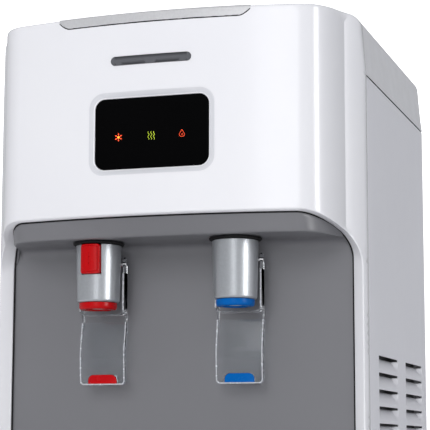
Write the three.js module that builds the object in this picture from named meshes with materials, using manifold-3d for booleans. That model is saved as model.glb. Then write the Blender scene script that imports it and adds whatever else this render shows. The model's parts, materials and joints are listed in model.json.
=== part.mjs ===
// Countertop hot-and-cold water dispenser: a bowed white head over a grey alcove with two
// lever taps, a top-loading bottle seat, louvred side panels and a wire condenser behind.
// Millimetres, +Z up, the front faces -Y. The origin is on the table, under the middle.
import * as THREE from 'three';
import * as BufferGeometryUtils from 'three/addons/utils/BufferGeometryUtils.js';
import Module from 'manifold-3d';

// ---- driving dimensions -------------------------------------------------------------
const HEIGHT = 500;
const HALF_WIDTH = 155;
const FOOT_HEIGHT = 8;
const SIDE_FRONT_Y = -95; // front edges of the side panels
const BACK_Y = 147.5; // outer face of the back panel
const REAR_Y = 167; // rearmost edge of the condenser brackets
const WALL = 2.5; // plastic wall
const SHEET = 2; // sheet-metal panels
const GAP = 0.3; // air between neighbouring pieces
const FAR = 400; // beyond everything, for cutting tools

// plan of the bowed front; "ahead" is the distance in front of SIDE_FRONT_Y
const FRONT_BULGE = 71;
const FRONT_RADIUS = 575;
const BOW_HALF = 114.4;
const CREASE = new THREE.Vector2(142.6, 23);
const STRIP_END_AHEAD = 5;

// heights
const SEAM_Z = 454; // side panels meet the top cover
const SHOULDER_Z = 492;
const SHOULDER_RADIUS = 8;
const SHOULDER_TAPER = 2.3; // the top cover leans in by this much
const TOP_WALL = 6;
const HEAD_Z = 341; // lower edge of the head
const DECK_Z = 95; // top of the base
const RELIEF_HEIGHT = 41.6; // the head sweeps back to the pillars over this height
const RELIEF_AHEAD = 57;
const PILLAR_AHEAD = 5;

// alcove
const ARCH_HALF = 143.8;
const ARCH_TOP = 339.5;
const ARCH_BOTTOM = DECK_Z;
const ARCH_RADIUS = 33;
const CEILING_Z = 324;
const FASCIA_INSET = 9;
const LINER_WALL = 3;

// drip tray
const TRAY_HALF = 113;
const TRAY_DEPTH = 28;
const TRAY_LIP = 7; // how far the tray's flange overlaps the deck
const GRILLE = { pitch: 10, slotHalf: 2.5, slots: 10 }; // slots to each side of the middle one

// display and badge
const LENS_HALF = new THREE.Vector2(46.5, 27.75);
const LENS_Z = 404.25;
const LENS_RADIUS = 8;
const LENS_SINK = 3.2;
const LENS_THICK = 3;
const BEZEL = 5;
const LAMP_X = [-27, 0, 25];
const LAMP_Z = 401.5;
const BOARD = { behindLens: 5, thick: 1.6, lampRadius: 2.5, lampLength: 4.5 };
const BADGE_Z = 461.5;
const BADGE_HALF = new THREE.Vector2(33, 3.6);
const BADGE_PROUD = 1;

// taps
const TAP_X = 56.8;
const TAP_Y = SIDE_FRONT_Y - 31.3;
const SLEEVE = { top: 321.7, bottom: 276.5, topRadius: 18, bottomRadius: 16.9, bore: 12 };
const RING = { top: 276.2, bottom: 270.8, radius: 15, bore: 9 };
const SEAL = { radius: 20.5, bottom: 322, top: 323.7 };
const VALVE_RADIUS = 8;
const VALVE_BOTTOM = 272;
const VALVE_TOP = 336;
const STEM_RADIUS = 3;
const STEM_SPAN = [284, 316]; // heights of the stem's ends
const FEED_RADIUS = 4;
const PIN_RADIUS = 1.6;
const PIN_WAY = 1.9; // radius of the holes that the pin passes through
const PIVOT_Z = 308;
const PIVOT_BEHIND = 10; // pivot pin behind the tap's axis
const LEVER_BOTTOM = 212.3;
const PADDLE_HALF = 19;
const BUTTON_HALF = 8;
const BUTTON_HALF_HEIGHT = 11.7;
const BUTTON_Z = 309.7;

// bottle seat and tanks
const SEAT_Y = 20;
const SEAT_RADIUS = 87.6;
const TRIM_RADIUS = 104;
const TONGUE_HALF = 79;
const TONGUE_FOOT_HALF = 70;
const TONGUE_Z = 491.3;
const COLD_TANK = { radius: 60, bottom: 300, top: 428 };
const HOT_TANK = { x: -70, y: 30, radius: 42, bottom: 150, top: 268 };
const COMPRESSOR = { x: 45, y: 80, radius: 50, bottom: 16, top: 126 };

// side louvres
const LOUVRE_TOP_Z = 235.6;
const LOUVRE_PITCH = 13.3;
const LOUVRE_ROWS = 11;
const LOUVRE_SLOT = 2.4;
const LOUVRE_SPANS = [[-61, 15.5], [49, 124.4]];

// condenser
const COIL_Y = 156;
const COIL_RADIUS = 2.4;
const COIL_RUNS = 10;
const COIL_PITCH = 26;
const COIL_HALF = 108;
const COIL_BOTTOM = 200;
const BRACKET_X = 90;

// rear fittings
const SWITCH_X = -105;
const SWITCH_Z = 130;
const ROCKER_OFFSET = 9.9;
const ROCKER_HALF = 6.5;
const INLET_Z = 85;
const DRAIN = { x: -40, z: 42 };
const DRAIN_CAP = 11;
const SCREW_SPOTS = [[-140, 30], [140, 30], [-140, 440], [140, 440]];
const SCREW_RADIUS = 4;
const BACK_VENTS = { rows: 6, bottom: 50, pitch: 18, left: 10, right: 130, height: 5 };
const FEET = {
  front_left: [-105, -125], front_right: [105, -125], rear_left: [-125, 120], rear_right: [125, 120],
};
const FOOT_RADIUS = 14;

const COLOURS = {
  white: { color: 0xf2f2f5, roughness: 0.3, metalness: 0 },
  grey: { color: 0x8b8c92, roughness: 0.45, metalness: 0 },
  silver: { color: 0xb6b7ba, roughness: 0.35, metalness: 0.5 },
  panel: { color: 0xe2e3e8, roughness: 0.4, metalness: 0.1 },
  black: { color: 0x0c0c0e, roughness: 0.15, metalness: 0 },
  rubber: { color: 0x1c1c1e, roughness: 0.8, metalness: 0 },
  clear: { color: 0xdfe6ea, roughness: 0.1, metalness: 0 },
  red: { color: 0xd01020, roughness: 0.25, metalness: 0 },
  blue: { color: 0x1565c8, roughness: 0.25, metalness: 0 },
  steel: { color: 0xb0b2b5, roughness: 0.3, metalness: 0.9 },
  enamel: { color: 0x151517, roughness: 0.4, metalness: 0.2 },
  foam: { color: 0xeeeeea, roughness: 0.9, metalness: 0 },
  board: { color: 0x1c5a38, roughness: 0.6, metalness: 0 },
  badge: { color: 0x5a5c61, roughness: 0.35, metalness: 0.3 },
};

const wasm = await Module();
wasm.setup();
const dispenser = new THREE.Group();

// ---- solids -------------------------------------------------------------------------
function toSolid(geometry) {
  const plain = geometry.clone();
  plain.deleteAttribute('normal');
  plain.deleteAttribute('uv');
  const merged = BufferGeometryUtils.mergeVertices(plain, 1e-4);
  const index = merged.index.array;
  const triangles = [];
  for (let i = 0; i < index.length; i += 3) {
    const [a, b, c] = [index[i], index[i + 1], index[i + 2]];
    if (a !== b && b !== c && c !== a) {
      triangles.push(a, b, c);
    }
  }
  const makeMesh = (triVerts) => new wasm.Mesh({
    numProp: 3,
    vertProperties: new Float32Array(merged.attributes.position.array),
    triVerts: new Uint32Array(triVerts),
  });
  const solid = new wasm.Manifold(makeMesh(triangles));
  return solid.volume() > 0 ? solid : new wasm.Manifold(makeMesh(triangles.reverse()));
}

function toGeometry(solid) {
  const mesh = solid.getMesh();
  const geometry = new THREE.BufferGeometry();
  geometry.setAttribute('position', new THREE.BufferAttribute(mesh.vertProperties, 3));
  geometry.setIndex(new THREE.BufferAttribute(mesh.triVerts, 1));
  geometry.computeVertexNormals();
  return geometry;
}

function place(name, solid, finish) {
  const mesh = new THREE.Mesh(toGeometry(solid), new THREE.MeshStandardMaterial(COLOURS[finish]));
  mesh.name = name;
  dispenser.add(mesh);
}

function block(low, high) {
  const size = high.map((value, i) => value - low[i]);
  const middle = high.map((value, i) => (value + low[i]) / 2);
  return toSolid(new THREE.BoxGeometry(...size).translate(...middle));
}

function extrude(points, depth) {
  const options = { depth, bevelEnabled: false, steps: 1 };
  return new THREE.ExtrudeGeometry(new THREE.Shape(points), options);
}

// outline in (x, y), standing between two heights
function prismZ(points, low, high) {
  return toSolid(extrude(points, high - low).translate(0, 0, low));
}

// outline in (x, z), running back from front to back
function prismY(points, front, back) {
  const turn = new THREE.Matrix4().makeBasis(
    new THREE.Vector3(1, 0, 0),
    new THREE.Vector3(0, 0, 1),
    new THREE.Vector3(0, -1, 0),
  );
  return toSolid(extrude(points, back - front).applyMatrix4(turn).translate(0, back, 0));
}

// outline in (y, z), running from left to right
function prismX(points, left, right) {
  const turn = new THREE.Matrix4().makeBasis(
    new THREE.Vector3(0, 1, 0),
    new THREE.Vector3(0, 0, 1),
    new THREE.Vector3(1, 0, 0),
  );
  return toSolid(extrude(points, right - left).applyMatrix4(turn).translate(left, 0, 0));
}

// closed profile of [radius, z] turned about a vertical line through (x, y)
function turned(profile, x, y, sides = 32) {
  const points = profile.map(([radius, z]) => new THREE.Vector2(radius, z));
  points.push(points[0].clone());
  const geometry = new THREE.LatheGeometry(points, sides).rotateX(Math.PI / 2);
  return toSolid(geometry.translate(x, y, 0));
}

function rod(radius, low, high, x, y, sides = 24) {
  return turned([[0, low], [radius, low], [radius, high], [0, high]], x, y, sides);
}

// a rod along X or Y instead of Z
function crossRod(radius, start, end, along, sides = 16) {
  const length = end - start;
  const geometry = new THREE.CylinderGeometry(radius, radius, length, sides);
  if (along.axis === 'x') {
    geometry.rotateZ(Math.PI / 2).translate((start + end) / 2, along.y, along.z);
  } else {
    geometry.translate(along.x, (start + end) / 2, along.z);
  }
  return toSolid(geometry);
}

// rings of equal count joined in order, with flat ends
function loft(rings) {
  const count = rings[0].length;
  const position = rings.flat().flatMap((point) => [point.x, point.y, point.z]);
  const index = [];
  for (let ring = 0; ring + 1 < rings.length; ring += 1) {
    for (let i = 0; i < count; i += 1) {
      const next = (i + 1) % count;
      const [a, b] = [ring * count + i, ring * count + next];
      index.push(a, b, b + count, a, b + count, a + count);
    }
  }
  const last = (rings.length - 1) * count;
  for (let i = 1; i + 1 < count; i += 1) {
    index.push(0, i + 1, i, last, last + i, last + i + 1);
  }
  const geometry = new THREE.BufferGeometry();
  geometry.setAttribute('position', new THREE.Float32BufferAttribute(position, 3));
  geometry.setIndex(index);
  return toSolid(geometry);
}

function hose(points, radius, steps, sides = 8) {
  const ring = [];
  for (let i = 0; i < sides; i += 1) {
    const angle = (2 * Math.PI * i) / sides;
    ring.push(new THREE.Vector2(radius * Math.cos(angle), radius * Math.sin(angle)));
  }
  const path = new THREE.CatmullRomCurve3(points.map((point) => new THREE.Vector3(...point)));
  const options = { steps, extrudePath: path, bevelEnabled: false };
  return toSolid(new THREE.ExtrudeGeometry(new THREE.Shape(ring), options));
}

// rounded rectangle around (middle.x, middle.y)
function roundedBox(middle, half, radius, steps = 4) {
  const points = [];
  const corners = [[1, 1], [-1, 1], [-1, -1], [1, -1]];
  corners.forEach(([sx, sy], quarter) => {
    for (let i = 0; i <= steps; i += 1) {
      const angle = (Math.PI / 2) * (quarter + i / steps);
      const x = middle.x + sx * (half.x - radius) + radius * Math.cos(angle);
      const y = middle.y + sy * (half.y - radius) + radius * Math.sin(angle);
      points.push(new THREE.Vector2(x, y));
    }
  });
  return points;
}

function circle(x, y, radius, sides = 40) {
  return roundedBox(new THREE.Vector2(x, y), new THREE.Vector2(radius, radius), radius, sides / 4);
}

// ---- outlines of the casing ---------------------------------------------------------
// half the bowed front in (x, ahead), from the middle to the side panel
function halfFront() {
  const points = [];
  const bowSteps = 6;
  for (let i = 0; i <= bowSteps; i += 1) {
    const x = (BOW_HALF * i) / bowSteps;
    const sag = FRONT_RADIUS - Math.sqrt(FRONT_RADIUS ** 2 - x ** 2);
    points.push(new THREE.Vector2(x, FRONT_BULGE - sag));
  }
  const start = points[points.length - 1];
  const handle = 17;
  const bowAngle = Math.asin(BOW_HALF / FRONT_RADIUS);
  const creaseAngle = THREE.MathUtils.degToRad(76);
  const leave = new THREE.Vector2(Math.cos(bowAngle), -Math.sin(bowAngle)).multiplyScalar(handle);
  const arrive = new THREE.Vector2(Math.cos(creaseAngle), -Math.sin(creaseAngle));
  const corner = new THREE.CubicBezierCurve(
    start,
    start.clone().add(leave),
    CREASE.clone().sub(arrive.multiplyScalar(handle)),
    CREASE,
  );
  points.push(...corner.getPoints(6).slice(1));
  const stripEnd = new THREE.Vector2(HALF_WIDTH, STRIP_END_AHEAD);
  const stripBow = new THREE.Vector2(1.6, 1.1);
  const stripMiddle = CREASE.clone().add(stripEnd).multiplyScalar(0.5).add(stripBow);
  const strip = new THREE.QuadraticBezierCurve(CREASE, stripMiddle, stripEnd);
  points.push(...strip.getPoints(2).slice(1));
  return points;
}

// moves the half front inwards, square to itself
function insetFront(points, inset) {
  return points.map((point, i) => {
    const before = points[Math.max(i - 1, 0)];
    const after = points[Math.min(i + 1, points.length - 1)];
    const along = after.clone().sub(before).normalize();
    if (i === 0) {
      along.set(1, 0);
    }
    return new THREE.Vector2(point.x + along.y * inset, point.y - along.x * inset);
  });
}

// closed plan in (x, y): the bowed front, closed straight across at a depth behind it
function frontPlan(inset, backAhead) {
  const half = insetFront(halfFront(), inset).filter((point) => point.y > backAhead + 0.1);
  const edge = half[half.length - 1].x;
  const right = half.map((point) => new THREE.Vector2(point.x, SIDE_FRONT_Y - point.y));
  const left = right.slice(1).reverse().map((point) => new THREE.Vector2(-point.x, point.y));
  const backY = SIDE_FRONT_Y - backAhead;
  const back = [new THREE.Vector2(edge, backY), new THREE.Vector2(-edge, backY)];
  return [...left, ...right, ...back];
}

// closed front view in (x, z): upright sides, a leaning and rounded shoulder
function frontView(inset, bottom) {
  const right = [new THREE.Vector2(HALF_WIDTH - inset, bottom)];
  if (bottom < SEAM_Z) {
    right.push(new THREE.Vector2(HALF_WIDTH - inset, SEAM_Z));
  }
  const centreX = HALF_WIDTH - SHOULDER_TAPER - SHOULDER_RADIUS;
  const radius = SHOULDER_RADIUS - inset;
  const steps = 5;
  for (let i = 0; i <= steps; i += 1) {
    const angle = (Math.PI / 2) * (i / steps);
    const x = centreX + radius * Math.cos(angle);
    right.push(new THREE.Vector2(x, SHOULDER_Z + radius * Math.sin(angle)));
  }
  const left = right.slice().reverse().map((point) => new THREE.Vector2(-point.x, point.y));
  return [...right, ...left];
}

function archView(inset) {
  const middle = new THREE.Vector2(0, (ARCH_TOP + ARCH_BOTTOM) / 2);
  const half = new THREE.Vector2(ARCH_HALF - inset, (ARCH_TOP - ARCH_BOTTOM) / 2 - inset);
  return roundedBox(middle, half, ARCH_RADIUS - inset, 6);
}

// side view in (y, z) of the air in front of the pillars, between the head and the base
function reliefView(behind) {
  const sweep = new THREE.CubicBezierCurve(
    new THREE.Vector2(RELIEF_AHEAD, 0),
    new THREE.Vector2(26, 7),
    new THREE.Vector2(6, 18),
    new THREE.Vector2(PILLAR_AHEAD, RELIEF_HEIGHT),
  ).getPoints(7);
  const upper = sweep.map((p) => new THREE.Vector2(SIDE_FRONT_Y - p.x + behind, HEAD_Z - p.y));
  const lower = sweep.map((p) => new THREE.Vector2(SIDE_FRONT_Y - p.x + behind, DECK_Z + p.y));
  const front = [new THREE.Vector2(-FAR, DECK_Z), new THREE.Vector2(-FAR, HEAD_Z)];
  return [...front, ...upper, ...lower.reverse()];
}

// ---- casing -------------------------------------------------------------------------
function displayPocket() {
  const surfaceY = SIDE_FRONT_Y - FRONT_BULGE;
  const lensFace = surfaceY + LENS_SINK;
  const middle = new THREE.Vector2(0, LENS_Z);
  const ring = (grow, y) => {
    const half = new THREE.Vector2(LENS_HALF.x + grow, LENS_HALF.y + grow);
    return roundedBox(middle, half, LENS_RADIUS + grow).map((p) => new THREE.Vector3(p.x, y, p.y));
  };
  return loft([ring(BEZEL + 4, surfaceY - 4), ring(GAP, lensFace), ring(GAP, lensFace + 12)]);
}

function trimPlan(grow) {
  const disc = prismZ(circle(0, SEAT_Y, TRIM_RADIUS + grow), 0, HEIGHT + 1);
  const low = [-TONGUE_HALF - grow, -FAR, 0];
  return disc.add(block(low, [TONGUE_HALF + grow, -50, HEIGHT + 1]));
}

function trimLipView(grow) {
  const right = [
    new THREE.Vector2(TONGUE_FOOT_HALF + grow, TONGUE_Z - grow),
    new THREE.Vector2(TONGUE_HALF + grow, TONGUE_Z + 5 - grow),
    new THREE.Vector2(TONGUE_HALF + grow, HEIGHT + 1),
  ];
  const left = right.slice().reverse().map((point) => new THREE.Vector2(-point.x, point.y));
  return [...right, ...left];
}

function trimPocket() {
  const top = trimPlan(0.4).intersect(block([-FAR, -FAR, HEIGHT - 3.3], [FAR, FAR, HEIGHT + 1]));
  const behindLip = prismZ(frontPlan(2.3, -1), TONGUE_Z - 2, HEIGHT + 1);
  const lip = prismY(trimLipView(0.4), -FAR, SIDE_FRONT_Y).subtract(behindLip);
  return top.add(lip);
}

function buildFrontFrame() {
  const bottom = FOOT_HEIGHT;
  const outside = prismY(frontView(0, bottom), -FAR, FAR);
  const inside = prismY(frontView(WALL, bottom - 1), -FAR, FAR);
  let frame = prismZ(frontPlan(0, 0), bottom, HEIGHT).intersect(outside);
  frame = frame.subtract(prismX(reliefView(0), -FAR, FAR));
  frame = frame.subtract(prismY(archView(0), -FAR, SIDE_FRONT_Y + 1));
  const head = prismZ(frontPlan(WALL, -1), HEAD_Z + WALL, HEIGHT - TOP_WALL);
  const base = prismZ(frontPlan(WALL, -1), bottom - 1, DECK_Z - WALL);
  frame = frame.subtract(head.add(base).intersect(inside));
  const valveWay = block([-105, SIDE_FRONT_Y - 56, HEAD_Z - 3], [105, SIDE_FRONT_Y + 1, HEAD_Z + 5]);
  const trayWay = traySolid(TRAY_LIP - 1, DECK_Z - WALL - 1, DECK_Z + 1);
  frame = frame.subtract(valveWay).subtract(trayWay);
  place('front_frame', frame.subtract(displayPocket()).subtract(trimPocket()), 'white');
}

function buildTopCover() {
  const front = SIDE_FRONT_Y + GAP;
  const shell = prismY(frontView(0, SEAM_Z + GAP), front, BACK_Y);
  const rounding = 10;
  const sideView = [
    new THREE.Vector2(-FAR, SEAM_Z - 1),
    new THREE.Vector2(BACK_Y, SEAM_Z - 1),
    new THREE.Vector2(BACK_Y, HEIGHT - rounding),
    new THREE.Vector2(BACK_Y - 3, HEIGHT - 3),
    new THREE.Vector2(BACK_Y - rounding, HEIGHT),
    new THREE.Vector2(-FAR, HEIGHT),
  ];
  const lower = block([-FAR, -FAR, SEAM_Z - 1], [FAR, BACK_Y - WALL, HEIGHT - TOP_WALL]);
  const hollow = prismY(frontView(WALL, SEAM_Z - 1), front - 1, BACK_Y - WALL).intersect(lower);
  const seatWay = prismZ(circle(0, SEAT_Y, 84), SEAM_Z, HEIGHT + 1);
  let cover = shell.intersect(prismX(sideView, -FAR, FAR)).subtract(hollow);
  cover = cover.subtract(seatWay).subtract(trimPocket());
  place('top_cover', cover, 'white');
}

function buildTopTrim() {
  const plate = trimPlan(0)
    .intersect(prismZ(frontPlan(0, -FAR), HEIGHT - 3, HEIGHT))
    .subtract(prismZ(circle(0, SEAT_Y, SEAT_RADIUS + 0.4), HEIGHT - 4, HEIGHT + 1));
  const lip = prismZ(frontPlan(0, 0), TONGUE_Z, HEIGHT)
    .subtract(prismZ(frontPlan(2, -1), TONGUE_Z - 1, HEIGHT + 1))
    .intersect(prismY(trimLipView(0), -FAR, SIDE_FRONT_Y))
    .intersect(block([-FAR, -FAR, 0], [FAR, FAR, HEIGHT]));
  place('top_trim', plate.add(lip), 'silver');
}

function buildLiner() {
  const arch = prismY(archView(0.5), -FAR, SIDE_FRONT_Y + LINER_WALL);
  const inner = prismY(archView(0.5 + LINER_WALL), -FAR, SIDE_FRONT_Y);
  const behindRim = prismX(reliefView(3.5), -FAR, FAR);
  const lowRing = block([-FAR, -FAR, 0], [FAR, SIDE_FRONT_Y, 200]);
  const open = block([-118, -FAR, 0], [118, SIDE_FRONT_Y, FAR]);
  const ring = arch.subtract(inner).subtract(behindRim).subtract(lowRing).subtract(open);
  const fascia = prismZ(frontPlan(FASCIA_INSET, 1), CEILING_Z, ARCH_TOP - 0.6);
  const hollow = prismZ(frontPlan(FASCIA_INSET + LINER_WALL, 1 + LINER_WALL), CEILING_Z + LINER_WALL, FAR);
  let liner = ring.add(fascia.intersect(arch).subtract(hollow));
  for (const side of [-1, 1]) {
    liner = liner.subtract(rod(VALVE_RADIUS + 0.5, CEILING_Z - 9, CEILING_Z + 9, side * TAP_X, TAP_Y));
  }
  place('alcove_liner', liner, 'grey');
}

function buildDisplay() {
  const face = SIDE_FRONT_Y - FRONT_BULGE + LENS_SINK;
  const middle = new THREE.Vector2(0, LENS_Z);
  const lens = prismY(roundedBox(middle, LENS_HALF, LENS_RADIUS), face, face + LENS_THICK);
  place('display_lens', lens, 'black');
  const boardFront = face + LENS_THICK + BOARD.behindLens;
  const boardHalf = new THREE.Vector2(LENS_HALF.x - 3, LENS_HALF.y - 4);
  let board = prismY(roundedBox(middle, boardHalf, 2, 1), boardFront, boardFront + BOARD.thick);
  for (const x of LAMP_X) {
    const lampFront = boardFront - BOARD.lampLength;
    board = board.add(crossRod(BOARD.lampRadius, lampFront, boardFront + 0.5, { axis: 'y', x, z: LAMP_Z }));
  }
  place('display_board', board, 'board');
}

function buildBadge() {
  const plate = prismZ(frontPlan(-BADGE_PROUD, 0), BADGE_Z - 5, BADGE_Z + 5)
    .subtract(prismZ(frontPlan(-GAP, -1), BADGE_Z - 6, BADGE_Z + 6));
  const pill = roundedBox(new THREE.Vector2(0, BADGE_Z), BADGE_HALF, BADGE_HALF.y);
  place('badge', plate.intersect(prismY(pill, -FAR, SIDE_FRONT_Y)), 'badge');
}

function buildSidePanel(name, side) {
  const inner = side > 0 ? HALF_WIDTH - SHEET : -HALF_WIDTH;
  const low = [inner, SIDE_FRONT_Y + GAP, FOOT_HEIGHT];
  let panel = block(low, [inner + SHEET, BACK_Y, SEAM_Z - GAP]);
  for (let row = 0; row < LOUVRE_ROWS; row += 1) {
    const z = LOUVRE_TOP_Z - row * LOUVRE_PITCH;
    for (const [from, to] of LOUVRE_SPANS) {
      const slot = block([inner - SHEET, from, z - LOUVRE_SLOT], [inner + 2 * SHEET, to, z]);
      panel = panel.subtract(slot);
    }
  }
  place(name, panel, 'panel');
}

function buildBackPanel() {
  const half = HALF_WIDTH - SHEET - GAP;
  let panel = block([-half, BACK_Y - SHEET, FOOT_HEIGHT], [half, BACK_Y, SEAM_Z - GAP]);
  const { rows, pitch, left, right, height } = BACK_VENTS;
  for (let row = 0; row < rows; row += 1) {
    const z = BACK_VENTS.bottom + row * pitch;
    panel = panel.subtract(block([left, BACK_Y - 5, z], [right, BACK_Y + 5, z + height]));
  }
  const switchHole = roundedBox(new THREE.Vector2(SWITCH_X, SWITCH_Z), new THREE.Vector2(20, 13), 2, 1);
  const inletHole = roundedBox(new THREE.Vector2(SWITCH_X, INLET_Z), new THREE.Vector2(14.5, 11), 2, 1);
  panel = panel.subtract(prismY(switchHole, BACK_Y - 5, BACK_Y + 5));
  panel = panel.subtract(prismY(inletHole, BACK_Y - 5, BACK_Y + 5));
  panel = panel.subtract(crossRod(9, BACK_Y - 5, BACK_Y + 5, { axis: 'y', ...DRAIN }));
  place('back_panel', panel, 'panel');
  SCREW_SPOTS.forEach(([x, z], i) => {
    const start = BACK_Y + GAP;
    const head = crossRod(SCREW_RADIUS, start, start + 2, { axis: 'y', x, z }, 12);
    place(`panel_screw_${i + 1}`, head, 'steel');
  });
}

function buildBase() {
  const half = HALF_WIDTH - SHEET - GAP;
  const top = FOOT_HEIGHT + 2.5;
  const front = prismZ(frontPlan(WALL + 0.4, -1), FOOT_HEIGHT, top);
  const rear = block([-half, SIDE_FRONT_Y + GAP, FOOT_HEIGHT], [half, BACK_Y - SHEET - GAP, top]);
  place('base_plate', front.add(rear), 'steel');
  const footTop = FOOT_HEIGHT - GAP;
  const foot = [
    [0, 0], [FOOT_RADIUS - 4, 0], [FOOT_RADIUS - 2, 2], [FOOT_RADIUS, footTop], [0, footTop],
  ];
  for (const [corner, [x, y]] of Object.entries(FEET)) {
    place(`foot_${corner}`, turned(foot, x, y, 20), 'rubber');
  }
}

// ---- drip tray ----------------------------------------------------------------------
// the tray's plan, drawn in by an inset, between two heights
function traySolid(inset, low, high) {
  const half = TRAY_HALF - inset;
  const sides = block([-half, -FAR, low - 1], [half, FAR, high + 1]);
  return prismZ(frontPlan(8 + inset, 3 + inset), low, high).intersect(sides);
}

function buildDripTray() {
  const top = DECK_Z + 3;
  const floor = DECK_Z - TRAY_DEPTH;
  const flange = traySolid(0, DECK_Z + GAP, top);
  const tub = traySolid(TRAY_LIP, floor, top - 1);
  const basin = traySolid(TRAY_LIP + WALL, floor + WALL, top + 1);
  const seat = traySolid(3, top - 1.6, top + 1);
  place('drip_tray', flange.add(tub).subtract(basin).subtract(seat), 'grey');

  let grille = traySolid(3.4, top - 1.3, top + 0.7);
  const { pitch, slotHalf, slots } = GRILLE;
  for (let x = -slots * pitch; x <= slots * pitch; x += pitch) {
    const reach = SIDE_FRONT_Y - 50 + Math.abs(x) * 0.08;
    const slot = block([x - slotHalf, reach, top - 2], [x + slotHalf, SIDE_FRONT_Y - 14, top + 2]);
    grille = grille.subtract(slot);
  }
  place('drip_grille', grille, 'grey');
}

// ---- taps ---------------------------------------------------------------------------
// side view of the lever, as [behind the tap's axis, height] down its front face
const LEVER_FACE = [[14.3, 270], [9.3, 237.5], [11, LEVER_BOTTOM]];
const LEVER_THICK = 2.5;

function leverPlate(halfWidth, thick) {
  const front = LEVER_FACE.map(([behind, z]) => new THREE.Vector2(TAP_Y + behind, z));
  const back = front.slice().reverse().map((p) => new THREE.Vector2(p.x + thick, p.y));
  return prismX([...front, ...back], -halfWidth, halfWidth);
}

function markerView(grow) {
  const bottom = LEVER_BOTTOM + 0.8 - grow;
  return [
    new THREE.Vector2(-12 - grow, bottom),
    new THREE.Vector2(12 + grow, bottom),
    new THREE.Vector2(12 + grow, bottom + 4 + grow),
    new THREE.Vector2(9 + grow, bottom + 7.2 + 2 * grow),
    new THREE.Vector2(-9 - grow, bottom + 7.2 + 2 * grow),
    new THREE.Vector2(-12 - grow, bottom + 4 + grow),
  ];
}

function buildLever(name, finish, x) {
  const plate = leverPlate(PADDLE_HALF, LEVER_THICK);
  const pivotY = TAP_Y + PIVOT_BEHIND;
  const armView = [[7, 262], [7, 312], [13, 314], [14, 262], [14.3 + LEVER_THICK - 0.4, 260], [13.4, 260]];
  const outline = armView.map(([behind, z]) => new THREE.Vector2(TAP_Y + behind, z));
  const [armIn, armOut] = [17, PADDLE_HALF];
  let lever = plate.add(prismX(outline, armIn, armOut)).add(prismX(outline, -armOut, -armIn));
  const hole = crossRod(PIN_WAY, -FAR, FAR, { axis: 'x', y: pivotY, z: PIVOT_Z });
  const window = prismY(markerView(GAP), -FAR, SIDE_FRONT_Y);
  lever = lever.subtract(hole).subtract(window);
  place(`${name}_lever`, lever.translate(x, 0, 0), 'clear');
  const marker = leverPlate(PADDLE_HALF, LEVER_THICK + 0.3).translate(0, -0.15, 0);
  const inset = marker.intersect(prismY(markerView(0), -FAR, SIDE_FRONT_Y));
  place(`${name}_lever_marker`, inset.translate(x, 0, 0), finish);
  const pin = crossRod(PIN_RADIUS, x - 20, x + 20, { axis: 'x', y: pivotY, z: PIVOT_Z });
  place(`${name}_lever_pin`, pin, 'steel');
}

function buildTap(name, finish, x, lockable) {
  const { top, bottom, topRadius, bottomRadius, bore } = SLEEVE;
  const chamfered = [[bottomRadius - 0.8, bottom], [bottomRadius, bottom + 1]];
  const profile = [[bore, bottom], ...chamfered, [topRadius, top], [bore, top]];
  let sleeve = turned(profile, x, TAP_Y, 40);
  const pinWay = crossRod(PIN_WAY, -FAR, FAR, { axis: 'x', y: TAP_Y + PIVOT_BEHIND, z: PIVOT_Z });
  sleeve = sleeve.subtract(pinWay);
  if (lockable) {
    const low = [x - BUTTON_HALF - 0.4, TAP_Y - 30, BUTTON_Z - BUTTON_HALF_HEIGHT - 0.4];
    sleeve = sleeve.subtract(block(low, [x + BUTTON_HALF + 0.4, TAP_Y - 5, top + 1]));
    const middle = new THREE.Vector2(x, BUTTON_Z);
    const view = roundedBox(middle, new THREE.Vector2(BUTTON_HALF, BUTTON_HALF_HEIGHT), 2, 2);
    place(`${name}_lock_button`, prismY(view, TAP_Y - 21, TAP_Y - 13.5), finish);
  }
  place(`${name}_tap_sleeve`, sleeve, 'silver');

  const ring = [
    [RING.bore, RING.bottom], [RING.radius - 1.2, RING.bottom], [RING.radius, RING.bottom + 1.5],
    [RING.radius, RING.top], [RING.bore, RING.top],
  ];
  place(`${name}_tap_ring`, turned(ring, x, TAP_Y, 32), finish);
  const sealBore = VALVE_RADIUS + 0.5;
  const seal = [
    [sealBore, SEAL.bottom], [SEAL.radius, SEAL.bottom], [SEAL.radius, SEAL.top], [sealBore, SEAL.top],
  ];
  place(`${name}_tap_seal`, turned(seal, x, TAP_Y, 32), 'rubber');
  const way = STEM_RADIUS + 0.4;
  const body = [
    [way, VALVE_BOTTOM], [VALVE_RADIUS - 1, VALVE_BOTTOM], [VALVE_RADIUS, VALVE_BOTTOM + 2],
    [VALVE_RADIUS, VALVE_TOP], [way, VALVE_TOP],
  ];
  place(`${name}_valve_body`, turned(body, x, TAP_Y, 24), 'white');
  place(`${name}_valve_stem`, rod(STEM_RADIUS, ...STEM_SPAN, x, TAP_Y, 16), 'rubber');
  buildLever(name, finish, x);
}

function buildFeedTubes() {
  const overTop = (x) => [
    [x, -84, 335], [x, -92, 357], [x, -110, 364], [x, TAP_Y, 354], [x, TAP_Y, VALVE_TOP + 1],
  ];
  const fromHot = [[HOT_TANK.x, HOT_TANK.y - 55, 255], [HOT_TANK.x, HOT_TANK.y - 70, 256], [-62, -74, 300]];
  place('hot_feed_tube', hose([...fromHot, ...overTop(-TAP_X)], FEED_RADIUS, 26), 'clear');
  const fromCold = [[50, -46, 312], [52, -60, 312]];
  place('cold_feed_tube', hose([...fromCold, ...overTop(TAP_X)], FEED_RADIUS, 22), 'clear');
}

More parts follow.
